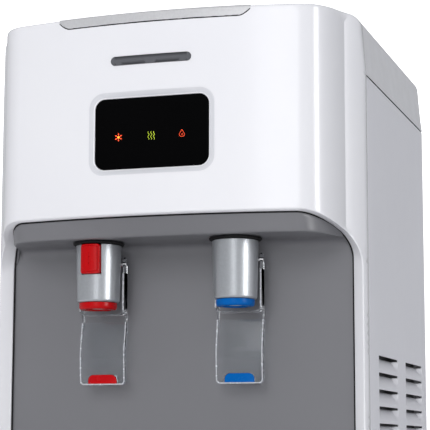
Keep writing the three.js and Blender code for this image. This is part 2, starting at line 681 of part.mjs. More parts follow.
// ---- bottle seat, tanks, cooling ----------------------------------------------------
function buildBottleSeat() {
  const funnel = [
    [24.5, 430], [24.5, 456], [52, 474], [82, 488], [83.4, 496.9], [SEAT_RADIUS, 496.9], [SEAT_RADIUS, 500],
    [81.5, 500], [79.5, 490], [51, 476.5], [22, 458], [22, 430],
  ];
  place('bottle_seat', turned(funnel, 0, SEAT_Y, 36), 'white');
  const guard = [[0, 432], [21.6, 432], [21.6, 435], [11, 436], [10, 466], [7, 473], [0, 476]];
  place('water_guard', turned(guard, 0, SEAT_Y, 24), 'clear');
  const seal = [[24.9, 440], [28.5, 440], [28.5, 444], [24.9, 444]];
  place('seat_seal', turned(seal, 0, SEAT_Y, 28), 'rubber');
}

function cup(radius, wall, bottom, top, x, y, sides = 32) {
  const inner = radius - wall;
  const outside = [[0, bottom], [radius, bottom], [radius, top]];
  const profile = [...outside, [inner, top], [inner, bottom + wall], [0, bottom + wall]];
  return turned(profile, x, y, sides);
}

function buildTanks() {
  const { radius, bottom, top } = COLD_TANK;
  place('cold_tank', cup(radius, 1.5, bottom, top, 0, SEAT_Y), 'steel');
  const jacketHole = crossRod(FEED_RADIUS + 1, -80, -30, { axis: 'y', x: 50, z: 312 });
  const foam = cup(radius + 20, 13, bottom - 14, top, 0, SEAT_Y).subtract(jacketHole);
  place('cold_tank_foam', foam, 'foam');

  const [turns, coilRadius] = [5, 63.9];
  const rings = [];
  const [sides, perTurn, tube] = [6, 20, 2.3];
  for (let i = 0; i <= turns * perTurn; i += 1) {
    const angle = (2 * Math.PI * i) / perTurn;
    const z = bottom + 12 + (i / perTurn) * 9;
    const ring = [];
    for (let k = 0; k < sides; k += 1) {
      const around = (2 * Math.PI * k) / sides;
      const reach = coilRadius + tube * Math.cos(around);
      const lift = z + tube * Math.sin(around);
      ring.push(new THREE.Vector3(reach * Math.cos(angle), SEAT_Y + reach * Math.sin(angle), lift));
    }
    rings.push(ring);
  }
  place('evaporator_coil', loft(rings), 'steel');

  const hot = HOT_TANK;
  const shell = [
    [0, hot.bottom], [hot.radius, hot.bottom], [hot.radius, hot.top], [8, hot.top + 6], [8, hot.top + 14],
    [6.5, hot.top + 14], [6.5, hot.top + 4.5], [hot.radius - 1.5, hot.top - 1.5],
    [hot.radius - 1.5, hot.bottom + 1.5], [0, hot.bottom + 1.5],
  ];
  place('hot_tank', turned(shell, hot.x, hot.y), 'steel');
  place('hot_tank_jacket', cup(hot.radius + 10, 9.5, hot.bottom - 10, hot.top, hot.x, hot.y), 'foam');
}

function buildCompressor() {
  const { x, y, radius, bottom, top } = COMPRESSOR;
  const profile = [
    [0, bottom], [radius - 12, bottom], [radius - 3, bottom + 10], [radius - 1, bottom + 48],
    [radius, bottom + 50], [radius, bottom + 54], [radius - 1, bottom + 56], [radius - 4, top - 16],
    [radius - 18, top - 3], [0, top],
  ];
  place('compressor', turned(profile, x, y, 32), 'enamel');
  const plateBottom = FOOT_HEIGHT + 2.5 + GAP;
  const view = roundedBox(new THREE.Vector2(x, y), new THREE.Vector2(62, 52), 10, 3);
  place('compressor_mount', prismZ(view, plateBottom, bottom - GAP), 'enamel');
}

// serpentine tube in the plane y = COIL_Y: straight runs joined by half-round bends
function buildCondenser() {
  const bend = COIL_PITCH / 2;
  const path = [];
  for (let run = 0; run < COIL_RUNS; run += 1) {
    const side = run % 2 === 0 ? 1 : -1;
    const z = COIL_BOTTOM + run * COIL_PITCH;
    path.push({ x: -side * COIL_HALF, z, angle: side > 0 ? 0 : Math.PI });
    path.push({ x: side * COIL_HALF, z, angle: side > 0 ? 0 : Math.PI });
    for (let i = 1; i < 6 && run + 1 < COIL_RUNS; i += 1) {
      const turn = (Math.PI * i) / 6;
      const x = side * (COIL_HALF + bend * Math.sin(turn));
      const heading = side > 0 ? turn : Math.PI - turn;
      path.push({ x, z: z + bend - bend * Math.cos(turn), angle: heading });
    }
  }
  const sides = 8;
  const rings = path.map(({ x, z, angle }) => {
    const ring = [];
    for (let k = 0; k < sides; k += 1) {
      const around = (2 * Math.PI * k) / sides;
      const across = COIL_RADIUS * Math.cos(around);
      const out = COIL_RADIUS * Math.sin(around);
      const [tiltX, tiltZ] = [-across * Math.sin(angle), across * Math.cos(angle)];
      ring.push(new THREE.Vector3(x + tiltX, COIL_Y + out, z + tiltZ));
    }
    return ring;
  });
  place('condenser_tube', loft(rings), 'enamel');

  const top = COIL_BOTTOM + (COIL_RUNS - 1) * COIL_PITCH;
  for (const [name, x] of [['left', -BRACKET_X], ['right', BRACKET_X]]) {
    let strap = block([x - 1, BACK_Y + GAP, COIL_BOTTOM - 14], [x + 1, REAR_Y, top + 14]);
    for (let run = 0; run < COIL_RUNS; run += 1) {
      const along = { axis: 'x', y: COIL_Y, z: COIL_BOTTOM + run * COIL_PITCH };
      strap = strap.subtract(crossRod(COIL_RADIUS + 0.5, x - 5, x + 5, along, 10));
    }
    place(`condenser_bracket_${name}`, strap, 'enamel');
  }
}

// ---- rear fittings ------------------------------------------------------------------
function buildRearFittings() {
  const middle = new THREE.Vector2(SWITCH_X, SWITCH_Z);
  const face = BACK_Y + GAP;
  let plate = prismY(roundedBox(middle, new THREE.Vector2(25, 18), 3, 2), face, face + 2);
  const bodyView = roundedBox(middle, new THREE.Vector2(19.5, 12.5), 1.5, 1);
  plate = plate.add(prismY(bodyView, BACK_Y - 16, face + 0.5));
  for (const side of [-1, 1]) {
    const at = new THREE.Vector2(SWITCH_X + side * ROCKER_OFFSET, SWITCH_Z);
    const well = roundedBox(at, new THREE.Vector2(ROCKER_HALF + 1, 10.5), 1, 1);
    plate = plate.subtract(prismY(well, BACK_Y - 8, FAR));
  }
  place('switch_plate', plate, 'rubber');
  for (const [name, side, finish] of [['hot', -1, 'red'], ['cold', 1, 'blue']]) {
    const x = SWITCH_X + side * ROCKER_OFFSET;
    const view = [[-4, -5], [-4, 5], [2.4, 8.5], [3.6, 7.5], [1.4, -1], [0.4, -8.5], [-1, -8.5]];
    const outline = view.map(([y, z]) => new THREE.Vector2(face + 1.5 + y, SWITCH_Z + z));
    place(`${name}_switch`, prismX(outline, x - ROCKER_HALF, x + ROCKER_HALF), finish);
  }

  const inletMiddle = new THREE.Vector2(SWITCH_X, INLET_Z);
  const flange = prismY(roundedBox(inletMiddle, new THREE.Vector2(17, 13.5), 3, 2), face, face + 2.5);
  const can = prismY(roundedBox(inletMiddle, new THREE.Vector2(14, 10.5), 2, 1), BACK_Y - 22, face + 1);
  const socket = prismY(roundedBox(inletMiddle, new THREE.Vector2(12, 8.5), 2, 1), BACK_Y - 18, FAR);
  let inlet = flange.add(can).subtract(socket);
  for (const [dx, dz] of [[-7, -1.5], [0, 2], [7, -1.5]]) {
    const [x, z] = [SWITCH_X + dx, INLET_Z + dz];
    inlet = inlet.add(block([x - 0.9, BACK_Y - 19, z - 2], [x + 0.9, BACK_Y - 6, z + 2]));
  }
  place('power_inlet', inlet, 'rubber');

  const spout = crossRod(7.5, BACK_Y - 20, BACK_Y + 4, { axis: 'y', ...DRAIN }, 20);
  const cap = crossRod(DRAIN_CAP, BACK_Y + GAP, BACK_Y + 13, { axis: 'y', ...DRAIN }, 20);
  place('drain_plug', spout.add(cap), 'white');
}

buildBase();
buildFrontFrame();
buildTopCover();
buildTopTrim();
buildLiner();
buildDisplay();
buildBadge();
buildSidePanel('left_side_panel', -1);
buildSidePanel('right_side_panel', 1);
buildBackPanel();
buildDripTray();
buildTap('hot', 'red', -TAP_X, true);
buildTap('cold', 'blue', TAP_X, false);
buildFeedTubes();
buildBottleSeat();
buildTanks();
buildCompressor();
buildCondenser();
buildRearFittings();

export default dispenser;
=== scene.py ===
"""Countertop hot-and-cold water dispenser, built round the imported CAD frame.

Shapes are worked out in millimetres, in the frame's own axes, and become metres when a mesh is made.
"Ahead" is the distance in front of the side panels' front edges, towards -Y.
"""
import json
import math

import bmesh
import bpy
import numpy as np
from mathutils import Matrix, Vector
from mathutils.geometry import delaunay_2d_cdt


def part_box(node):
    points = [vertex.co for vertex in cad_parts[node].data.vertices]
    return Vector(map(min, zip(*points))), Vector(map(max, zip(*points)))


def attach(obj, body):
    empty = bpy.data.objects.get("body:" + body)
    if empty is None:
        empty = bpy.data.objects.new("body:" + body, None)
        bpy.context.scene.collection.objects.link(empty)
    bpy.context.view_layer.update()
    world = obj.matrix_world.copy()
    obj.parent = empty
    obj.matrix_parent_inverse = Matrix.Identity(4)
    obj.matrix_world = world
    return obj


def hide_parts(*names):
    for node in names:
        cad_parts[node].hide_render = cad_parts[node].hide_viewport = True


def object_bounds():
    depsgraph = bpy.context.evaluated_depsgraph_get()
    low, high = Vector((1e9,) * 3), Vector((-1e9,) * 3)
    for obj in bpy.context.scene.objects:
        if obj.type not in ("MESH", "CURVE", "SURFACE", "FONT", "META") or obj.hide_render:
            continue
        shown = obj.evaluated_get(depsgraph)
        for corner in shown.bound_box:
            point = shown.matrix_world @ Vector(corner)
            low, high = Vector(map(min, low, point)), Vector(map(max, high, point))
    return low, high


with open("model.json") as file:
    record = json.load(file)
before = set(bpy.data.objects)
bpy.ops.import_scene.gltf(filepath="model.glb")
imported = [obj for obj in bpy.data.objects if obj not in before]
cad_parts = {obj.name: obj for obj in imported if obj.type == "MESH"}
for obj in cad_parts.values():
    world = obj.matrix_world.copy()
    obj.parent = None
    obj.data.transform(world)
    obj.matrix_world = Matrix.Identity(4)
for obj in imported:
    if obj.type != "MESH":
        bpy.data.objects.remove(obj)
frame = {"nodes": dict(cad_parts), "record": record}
cad_low, cad_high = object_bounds()
nodes = frame["nodes"]
MM = 0.001


def span(node):
    """Lowest and highest corner of a CAD node, in millimetres."""
    low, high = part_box(node)
    return low / MM, high / MM


def face_of(node):
    """Middle and half size of a CAD node seen from the front, in (x, z)."""
    low, high = span(node)
    return ((low.x + high.x) / 2, (low.z + high.z) / 2), ((high.x - low.x) / 2, (high.z - low.z) / 2)


def radius_of(node):
    """Half the width of a CAD node."""
    low, high = span(node)
    return (high.x - low.x) / 2


# ---- driving dimensions, from the frame ---------------------------------------------------
HALF_WIDTH = cad_high.x / MM
HEIGHT = cad_high.z / MM
GAP = 0.3
SIDE_Y = span("front_frame")[1].y
BULGE = SIDE_Y - span("front_frame")[0].y
FOOT = span("front_frame")[0].z
BACK_Y = span("back_panel")[1].y
SEAM_Z = span("right_side_panel")[1].z + GAP
DECK_Z = span("drip_tray")[1].z - 3
LENS_LOW, LENS_HIGH = span("display_lens")
SLEEVE_LOW, SLEEVE_HIGH = span("cold_tap_sleeve")
SEAT_LOW, SEAT_HIGH = span("bottle_seat")
TAP_X = (SLEEVE_LOW.x + SLEEVE_HIGH.x) / 2
TAP_Y = (SLEEVE_LOW.y + SLEEVE_HIGH.y) / 2
SEAT_Y = (SEAT_LOW.y + SEAT_HIGH.y) / 2
SEAT_R = (SEAT_HIGH.x - SEAT_LOW.x) / 2

# the bowed front, in plan
BOW_RADIUS = 575
BOW_HALF = 114.4
BOW_HANDLE = 17
CREASE = np.array([142.6, 23.0])
CREASE_ANGLE = math.radians(76)
STRIP_END = np.array([HALF_WIDTH, 5.0])
STRIP_BOW = np.array([1.6, 1.1])

# front view of the head and top cover
SHOULDER_Z = 492
SHOULDER_R = 8
SHOULDER_TAPER = 2.3
TOP_DROP = 0.4  # the shell's top lies this far under the trim's

# the head's lower edge on the skin, and the arch that the grey liner fills
LIP_HALF, LIP_TOP, LIP_R = 152.5, 341.0, 39.5
ARCH_HALF, ARCH_TOP, ARCH_R = 143.8, 339.5, 31.0
RIM_DROP, RIM_DROP_SIDE, RIM_DROP_CORNER = 2.5, 4.7, 3.5  # how far the rim sweeps back
CEILING_Z = 324.5
WALL = 2.0


# ---- mesh helpers -------------------------------------------------------------------------
def curve2(a, b, c, steps):
    """Quadratic blend from a to c with its corner at b, as steps + 1 rows."""
    a, b, c = (np.asarray(p, float) for p in (a, b, c))
    rows = []
    for i in range(steps + 1):
        f = i / steps
        rows.append((1 - f) ** 2 * a + 2 * f * (1 - f) * b + f * f * c)
    return rows


def curve3(a, b, c, d, steps):
    """Cubic blend from a to d that leaves towards b and arrives from c."""
    a, b, c, d = (np.asarray(p, float) for p in (a, b, c, d))
    rows = []
    for i in range(steps + 1):
        f = i / steps
        g = 1 - f
        rows.append(g ** 3 * a + 3 * f * g * g * b + 3 * f * f * g * c + f ** 3 * d)
    return rows


def soften(points, radius, steps=4, closed=True):
    """The outline with each corner rounded; radius may be one number or one per corner."""
    points = [np.asarray(p, float) for p in points]
    count = len(points)
    radii = [radius] * count if np.isscalar(radius) else radius
    made = []
    for i, point in enumerate(points):
        if not closed and i in (0, count - 1):
            made.append(point)
            continue
        before, after = points[i - 1], points[(i + 1) % count]
        back, on = before - point, after - point
        reach = min(radii[i], np.linalg.norm(back) * 0.49, np.linalg.norm(on) * 0.49)
        if reach < 1e-3:
            made.append(point)
            continue
        start = point + back / np.linalg.norm(back) * reach
        end = point + on / np.linalg.norm(on) * reach
        made.extend(curve2(start, point, end, steps))
    return np.array(made)


def grid_part(rows, closed=False):
    """Quads between rows of equal length; closed joins the last column to the first."""
    rows = [np.asarray(row, float) for row in rows]
    count = len(rows[0])
    faces = []
    for r in range(len(rows) - 1):
        for c in range(count if closed else count - 1):
            n = (c + 1) % count
            faces.append((r * count + c, r * count + n, (r + 1) * count + n, (r + 1) * count + c))
    return np.concatenate(rows), faces


def cap_part(loop):
    """One face that fills a loop."""
    loop = np.asarray(loop, float)
    return loop, [tuple(range(len(loop)))]


def capped(rows):
    """Parts of a closed solid: rows joined all the way round, with both ends filled."""
    return [grid_part(rows, closed=True), cap_part(rows[0]), cap_part(rows[-1])]


def at_x(flat, x):
    """A side view (y, z) stood at one x."""
    return np.column_stack([np.broadcast_to(x, len(flat)), flat])


def at_y(flat, y):
    """A front view (x, z) stood at one y, or at one y for each point."""
    return np.column_stack([flat[:, 0], np.broadcast_to(y, len(flat)), flat[:, 1]])


def at_z(flat, z):
    """A plan (x, y) laid at one height, or at one height for each point."""
    return np.column_stack([flat, np.broadcast_to(z, len(flat))])


def circle(radius, x=0.0, y=0.0, sides=72):
    """Counter-clockwise circle in two dimensions."""
    turns = np.linspace(0, 2 * math.pi, sides, endpoint=False)
    return np.column_stack([x + radius * np.cos(turns), y + radius * np.sin(turns)])


def inside(points, loop):
    """Which 2-D points lie inside a closed loop."""
    points, loop = np.asarray(points), np.asarray(loop)
    hit = np.zeros(len(points), bool)
    ahead = np.roll(loop, -1, axis=0)
    for (x0, y0), (x1, y1) in zip(loop, ahead):
        crosses = (y0 > points[:, 1]) != (y1 > points[:, 1])
        if y0 != y1:
            where = x0 + (points[:, 1] - y0) * (x1 - x0) / (y1 - y0)
            hit ^= crosses & (points[:, 0] < where)
    return hit


def nearest(points, loop):
    """Distance from each point to the closest vertex of a loop."""
    points, loop = np.asarray(points)[:, None], np.asarray(loop)[None]
    return np.sqrt(((points - loop) ** 2).sum(2)).min(1)


def offset(loop, distance, closed=True):
    """Moves a counter-clockwise 2-D loop outwards."""
    loop = np.asarray(loop, float)
    if closed:
        along = np.roll(loop, -1, axis=0) - np.roll(loop, 1, axis=0)
    else:
        along = np.gradient(loop, axis=0)
    along /= np.linalg.norm(along, axis=1)[:, None]
    return loop + distance * np.column_stack([along[:, 1], -along[:, 0]])


def filled(outer, holes, inner_points, clear=1.2):
    """Triangles between an outer loop and its holes, through the inner points: (2-D points, faces)."""
    loops = [np.asarray(loop, float) for loop in (outer, *holes)]
    points = [tuple(p) for loop in loops for p in loop]
    edges, start = [], 0
    for loop in loops:
        edges += [(start + i, start + (i + 1) % len(loop)) for i in range(len(loop))]
        start += len(loop)
    spare = np.asarray(inner_points, float)
    if len(spare):
        keep = inside(spare, loops[0])
        for loop in loops:
            keep &= nearest(spare, loop) > clear
        for hole in loops[1:]:
            keep &= ~inside(spare, hole)
        points += [tuple(p) for p in spare[keep]]
    flat, _, faces, *_ = delaunay_2d_cdt([Vector(p) for p in points], edges, [], 0, 1e-5)
    flat = np.array([tuple(p) for p in flat])
    middles = np.array([flat[list(face)].mean(0) for face in faces])
    good = inside(middles, loops[0])
    for hole in loops[1:]:
        good &= ~inside(middles, hole)
    return flat, [tuple(face) for face, ok in zip(faces, good) if ok]


def add_object(name, data):
    """A new object in the scene."""
    made = bpy.data.objects.new(name, data)
    bpy.context.scene.collection.objects.link(made)
    return made


def mesh_from(name, parts, weld):
    """A mesh from parts of (points in mm, faces); points closer than weld become one."""
    bm = bmesh.new()
    for points, faces in parts:
        verts = [bm.verts.new(p) for p in np.asarray(points, float) * MM]
        for face in faces:
            bm.faces.new([verts[i] for i in face])
    bmesh.ops.remove_doubles(bm, verts=bm.verts, dist=weld * MM)
    bmesh.ops.dissolve_degenerate(bm, edges=bm.edges, dist=weld * MM)
    bmesh.ops.recalc_face_normals(bm, faces=bm.faces)
    mesh = bpy.data.meshes.new(name)
    bm.to_mesh(mesh)
    bm.free()
    return mesh


def shade(mesh, angle):
    """Smooth shading, but sharp where faces meet at more than an angle."""
    mesh.polygons.foreach_set("use_smooth", [True] * len(mesh.polygons))
    mesh.set_sharp_from_angle(angle=math.radians(angle))


def hang(piece, body, replaces):
    """Puts a piece on its body, and hides the CAD nodes it stands for."""
    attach(piece, body)
    if replaces:
        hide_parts(*replaces)
    return piece


def build(name, parts, slot, replaces=(), body="casing", material=None, angle=30, solid=0.0, weld=0.01):
    """One piece from parts; solid is the thickness added behind a skin."""
    mesh = mesh_from(name, parts, weld)
    shade(mesh, angle)
    mesh.materials.append(material or FINISH[slot])
    piece = add_object(name, mesh)
    if solid:
        wall = piece.modifiers.new("wall", "SOLIDIFY")
        wall.thickness = solid * MM
        wall.offset = -1
        wall.use_even_offset = False
    return hang(piece, body, replaces)


def lathe(profile, x, y, sides=96):
    """A closed profile of (radius, z) turned about a vertical line."""
    rows = [at_z(circle(radius, x, y, sides), z) for radius, z in [*profile, profile[0]]]
    return grid_part(rows, closed=True)


def rounded_rect(middle, half, radius, side=10, arc=8, top=None):
    """Counter-clockwise rounded rectangle; side and top count the steps along its straights."""
    top = side if top is None else top
    (cx, cy), (hx, hy) = middle, half
    signs = [(1, 1), (-1, 1), (-1, -1), (1, -1)]
    made = []
    for quarter, (sx, sy) in enumerate(signs):
        centre = np.array([cx + sx * (hx - radius), cy + sy * (hy - radius)])
        for i in range(arc + 1):
            angle = math.pi / 2 * (quarter + i / arc)
            made.append(centre + radius * np.array([math.cos(angle), math.sin(angle)]))
        ahead = signs[(quarter + 1) % 4]
        turn = math.pi / 2 * (quarter + 1)
        target = np.array([cx + ahead[0] * (hx - radius), cy + ahead[1] * (hy - radius)])
        target = target + radius * np.array([math.cos(turn), math.sin(turn)])
        count = top if quarter % 2 == 0 else side
        start = made[-1]
        if np.linalg.norm(target - start) > 1e-6:
            made.extend(start + (target - start) * k / count for k in range(1, count))
        else:
            made.pop()
    return np.array(made)


# ---- the bowed front ----------------------------------------------------------------------
def half_front():
    """Half the front in (x, ahead), from the middle to the side panel, with its length so far."""
    bow_x = np.linspace(0, BOW_HALF, 70)
    bow = np.column_stack([bow_x, BULGE - BOW_RADIUS + np.sqrt(BOW_RADIUS ** 2 - bow_x ** 2)])
    lean = math.asin(BOW_HALF / BOW_RADIUS)
    leave = bow[-1] + BOW_HANDLE * np.array([math.cos(lean), -math.sin(lean)])
    arrive = CREASE - BOW_HANDLE * np.array([math.cos(CREASE_ANGLE), -math.sin(CREASE_ANGLE)])
    corner = curve3(bow[-1], leave, arrive, CREASE, 60)
    strip = curve2(CREASE, (CREASE + STRIP_END) / 2 + STRIP_BOW, STRIP_END, 24)
    side = [(HALF_WIDTH, STRIP_END[1] * f) for f in (0.66, 0.33, 0)]
    points = np.array([*bow, *corner[1:], *strip[1:], *side])
    steps = np.linalg.norm(np.diff(points, axis=0), axis=1)
    return points, np.concatenate([[0], np.cumsum(steps)])


HALF, ALONG = half_front()
SIDE_U = ALONG[-1]
STRIP_U = ALONG[-4]
CREASE_U = ALONG[69 + 60]


def u_of(x):
    """Distance along the front at a given x."""
    return np.sign(x) * np.interp(np.abs(x), HALF[:-3, 0], ALONG[:-3])


def front_xt(u):
    """(x, ahead) at a distance along the front."""
    return np.sign(u) * np.interp(np.abs(u), ALONG, HALF[:, 0]), np.interp(np.abs(u), ALONG, HALF[:, 1])


def on_front(flat, proud=0.0):
    """Points of the unrolled front (distance along, z) put on the bowed front, or a little proud."""
    flat = np.asarray(flat, float)
    u, z = flat[:, 0], flat[:, 1]
    x, ahead = front_xt(u)
    if proud:
        x0, t0 = front_xt(u - 0.2)
        x1, t1 = front_xt(u + 0.2)
        length = np.hypot(x1 - x0, t1 - t0)
        x = x - proud * (t1 - t0) / length
        ahead = ahead + proud * (x1 - x0) / length
    return np.column_stack([x, SIDE_Y - ahead, z])


def front_columns():
    """Where upright lines of points go: closer together where the front turns."""
    bow = np.arange(0, u_of(BOW_HALF), 7.0)
    corner = np.arange(float(u_of(BOW_HALF)), CREASE_U - 1.6, 1.5)
    crease = CREASE_U + np.array([-0.7, 0, 0.7])
    strip = np.linspace(CREASE_U + 2, STRIP_U, 8)
    half = np.concatenate([bow, corner, crease, strip])
    return np.concatenate([-half[:0:-1], half])


def view_loop(half, top, radius):
    """The alcove's outline in front view (x, z), with how upright each point's edge is."""
    middle = ((0, (top + DECK_Z) / 2), (half, (top - DECK_Z) / 2))
    loop = rounded_rect(*middle, radius, side=26, arc=18, top=46)
    upright = np.abs(loop[:, 0]) - (half - radius)
    lift = np.maximum(np.abs(loop[:, 1] - middle[0][1]) - (middle[1][1] - radius), 0)
    angle = np.arctan2(np.maximum(upright, 0), lift + 1e-9) / (math.pi / 2)
    return loop, angle


lip, lip_upright = view_loop(LIP_HALF, LIP_TOP, LIP_R)
arch, _ = view_loop(ARCH_HALF, ARCH_TOP, ARCH_R)
lip_flat = np.column_stack([u_of(lip[:, 0]), lip[:, 1]])
lip_points = on_front(lip_flat)
arch_drop = RIM_DROP + RIM_DROP_SIDE * lip_upright + RIM_DROP_CORNER * np.sin(math.pi * lip_upright)
arch_ahead = SIDE_Y - lip_points[:, 1] - arch_drop
arch_points = np.column_stack([arch[:, 0], SIDE_Y - arch_ahead, arch[:, 1]])


def arch_z(x):
    """Height of the arch's edge at a given x."""
    over = np.clip(np.abs(x) - (ARCH_HALF - ARCH_R), 0, ARCH_R)
    return ARCH_TOP - ARCH_R + np.sqrt(ARCH_R ** 2 - over ** 2)


def arch_t(x):
    """How far ahead the arch's edge is at a given x, along its top and round its corners."""
    upper = arch[:, 1] > ARCH_TOP - ARCH_R
    order = np.argsort(np.abs(arch[upper, 0]))
    return np.interp(np.abs(x), np.abs(arch[upper, 0])[order], arch_ahead[upper][order])


def inset_t(x, inset):
    """How far ahead the front is at a given x when drawn in square to itself."""
    run = np.gradient(HALF[:-3], axis=0)
    run /= np.linalg.norm(run, axis=1)[:, None]
    drawn = HALF[:-3] + inset * np.column_stack([run[:, 1], -run[:, 0]])
    return np.interp(np.abs(x), drawn[:, 0], drawn[:, 1])


# ---- materials ----------------------------------------------------------------------------
class Finish:
    """A node material: a Principled shader whose colour, roughness and bump come from noise."""

    def __init__(self, name, color, roughness, **values):
        self.name = name
        self.material = bpy.data.materials.new(name)
        self.material.use_nodes = True
        self.tree = self.material.node_tree
        self.shader = self.tree.nodes["Principled BSDF"]
        self.set("Roughness", roughness)
        self.set("Base Color", (*color, 1))
        for key, value in values.items():
            self.set(key.replace("_", " "), value)
        self.color, self.roughness = color, roughness
        self.place = self.node("ShaderNodeTexCoord").outputs["Object"]
        self.height = None

    def set(self, socket, value):
        self.shader.inputs[socket].default_value = value

    def node(self, kind, **values):
        made = self.tree.nodes.new(kind)
        for key, value in values.items():
            if hasattr(made, key):
                setattr(made, key, value)
            else:
                made.inputs[key.replace("_", " ")].default_value = value
        return made

    def link(self, start, end):
        self.tree.links.new(start, end)

    def stretched(self, scale):
        mapping = self.node("ShaderNodeMapping")
        mapping.inputs["Scale"].default_value = scale
        self.link(self.place, mapping.inputs["Vector"])
        return mapping.outputs["Vector"]

    def noise(self, scale, detail=3, stretch=(1, 1, 1)):
        made = self.node("ShaderNodeTexNoise", Scale=scale, Detail=detail)
        self.link(self.stretched(stretch), made.inputs["Vector"])
        return made.outputs["Fac"]

    def ranged(self, value, low, high, start=0.3, end=0.7):
        made = self.node("ShaderNodeMapRange")
        for i, number in ((1, start), (2, end), (3, low), (4, high)):
            made.inputs[i].default_value = number
        self.link(value, made.inputs[0])
        return made.outputs[0]

    def vary_roughness(self, value, amount):
        low, high = self.roughness - amount, self.roughness + amount
        self.link(self.ranged(value, low, high), self.shader.inputs["Roughness"])

    def vary_color(self, value, other, start=0.35, end=0.65):
        ramp = self.node("ShaderNodeValToRGB")
        ramp.color_ramp.elements[0].position = start
        ramp.color_ramp.elements[1].position = end
        ramp.color_ramp.elements[0].color = (*self.color, 1)
        ramp.color_ramp.elements[1].color = (*other, 1)
        self.link(value, ramp.inputs["Fac"])
        self.link(ramp.outputs["Color"], self.shader.inputs["Base Color"])

    def bump(self, value, strength, depth):
        made = self.node("ShaderNodeBump", Strength=strength, Distance=depth)
        self.link(value, made.inputs["Height"])
        if self.height is not None:
            self.link(self.height, made.inputs["Normal"])
        self.height = made.outputs["Normal"]
        self.link(self.height, self.shader.inputs["Normal"])


def moulded(name, color, roughness, other=None, grain=900, depth=0.00002, strength=0.25, **values):
    """Moulded plastic or paint: a fine skin texture, slow waves, and slightly uneven gloss."""
    finish = Finish(name, color, roughness, **values)
    fine = finish.noise(grain, 2)
    slow = finish.noise(7, 2)
    finish.vary_roughness(finish.noise(60, 4), roughness * 0.14)
    finish.vary_color(slow, other or tuple(c * 0.985 for c in color))
    finish.bump(fine, strength, depth)
    return finish


def brushed(name, color, roughness, stretch, **values):
    """Metal or metallic plastic with a grain drawn out along one axis."""
    finish = Finish(name, color, roughness, **values)
    streaks = finish.noise(40, 5, stretch)
    finish.vary_roughness(streaks, roughness * 0.22)
    finish.vary_color(finish.noise(500, 2), tuple(min(1, c * 1.06) for c in color))
    finish.bump(streaks, 0.12, 0.00002)
    return finish


def make_finishes():
    """Every shared material, under the name of its slot."""
    made = [
        moulded(
            "white_shell", (0.83, 0.83, 0.86), 0.24, (0.815, 0.815, 0.85), grain=1400, depth=0.00001,
            Coat_Weight=0.35, Coat_Roughness=0.08),
        moulded(
            "grey_liner", (0.185, 0.185, 0.198), 0.37, (0.177, 0.177, 0.19), grain=1500, depth=0.00002),
        brushed("silver_trim", (0.63, 0.63, 0.645), 0.34, (1, 0.03, 1), Metallic=0.35),
        brushed("tap_silver", (0.48, 0.50, 0.525), 0.34, (1, 1, 0.05), Metallic=0.75),
        moulded(
            "side_panel", (0.85, 0.85, 0.895), 0.42, (0.835, 0.835, 0.88), grain=420, depth=0.00005,
            strength=0.35),
        moulded(
            "black_lens", (0.0012, 0.0012, 0.0014), 0.08, (0.0018, 0.0018, 0.002), grain=150,
            depth=0.000004, Specular_IOR_Level=0.03),
        # the next finish is a greyer copy of white_shell: painted shade for the display pocket's slopes
        moulded("shade_bezel", (0.66, 0.665, 0.70), 0.4, grain=1400, depth=0.00001),
        moulded("red_plastic", (0.48, 0.0, 0.003), 0.26, (0.48, 0.0, 0.002), Specular_IOR_Level=0.2),
        moulded("blue_plastic", (0.0, 0.115, 0.43), 0.26, (0.0, 0.105, 0.39), Specular_IOR_Level=0.1),
        moulded("badge_grey", (0.10, 0.103, 0.115), 0.6, grain=900),
        moulded(
            "rubber", (0.006, 0.006, 0.0065), 0.7, grain=700, depth=0.00006,
            Specular_IOR_Level=0.25),
        moulded("black_plastic", (0.018, 0.018, 0.019), 0.42, grain=600, depth=0.00005),
        brushed("steel", (0.55, 0.55, 0.56), 0.28, (1, 1, 0.06), Metallic=1.0),
        moulded("black_enamel", (0.012, 0.012, 0.013), 0.3, grain=260, depth=0.00008),
        foam_beads(),
        moulded("board_green", (0.012, 0.11, 0.045), 0.4, (0.008, 0.07, 0.03), grain=300),
        moulded("inner_plastic", (0.74, 0.75, 0.74), 0.45),
        clear_plastic(),
    ]
    return {finish.name: finish.material for finish in made}


def foam_beads():
    """White foam of pressed beads."""
    finish = Finish("foam", (0.80, 0.80, 0.77), 0.85)
    beads = finish.node("ShaderNodeTexVoronoi", Scale=260.0)
    finish.link(finish.stretched((1, 1, 1)), beads.inputs["Vector"])
    finish.vary_color(beads.outputs["Distance"], (0.62, 0.62, 0.60), 0.1, 0.9)
    finish.bump(beads.outputs["Distance"], 0.6, 0.0006)
    return finish


def clear_plastic():
    """Polycarbonate: sees through, with moulding waves and faint scuffs in its gloss."""
    finish = Finish(
        "clear_lever", (0.93, 0.95, 0.97), 0.08, Transmission_Weight=1.0, IOR=1.49,
        Specular_IOR_Level=0.5)
    finish.vary_roughness(finish.noise(120, 5), 0.05)
    finish.vary_color(finish.noise(30, 2), (0.88, 0.91, 0.94))
    finish.bump(finish.noise(90, 2), 0.15, 0.0002)
    return finish


def glow(name, color, strength):
    """A lamp behind the lens: a glowing symbol whose base colour drifts towards a brighter tint in slow
    noise.
    """
    finish = moulded(name, color, 0.3, tuple(min(1, c * 1.3) for c in color), grain=1500)
    finish.set("Emission Color", (*color, 1))
    finish.set("Emission Strength", strength)
    return finish.material


def edge_highlight_plastic():
    """Whiter, frosted copy of the clear plastic: painted highlight for the lever's bright edges."""
    finish = Finish("clear_edge_highlight", (0.86, 0.88, 0.92), 0.25, Transmission_Weight=0.45, IOR=1.49)
    finish.vary_roughness(finish.noise(300, 3), 0.06)
    finish.vary_color(finish.noise(90, 2), (0.80, 0.82, 0.88))
    finish.bump(finish.noise(700, 2), 0.2, 0.00002)
    return finish.material


FINISH = make_finishes()
EDGE_HIGHLIGHT = edge_highlight_plastic()


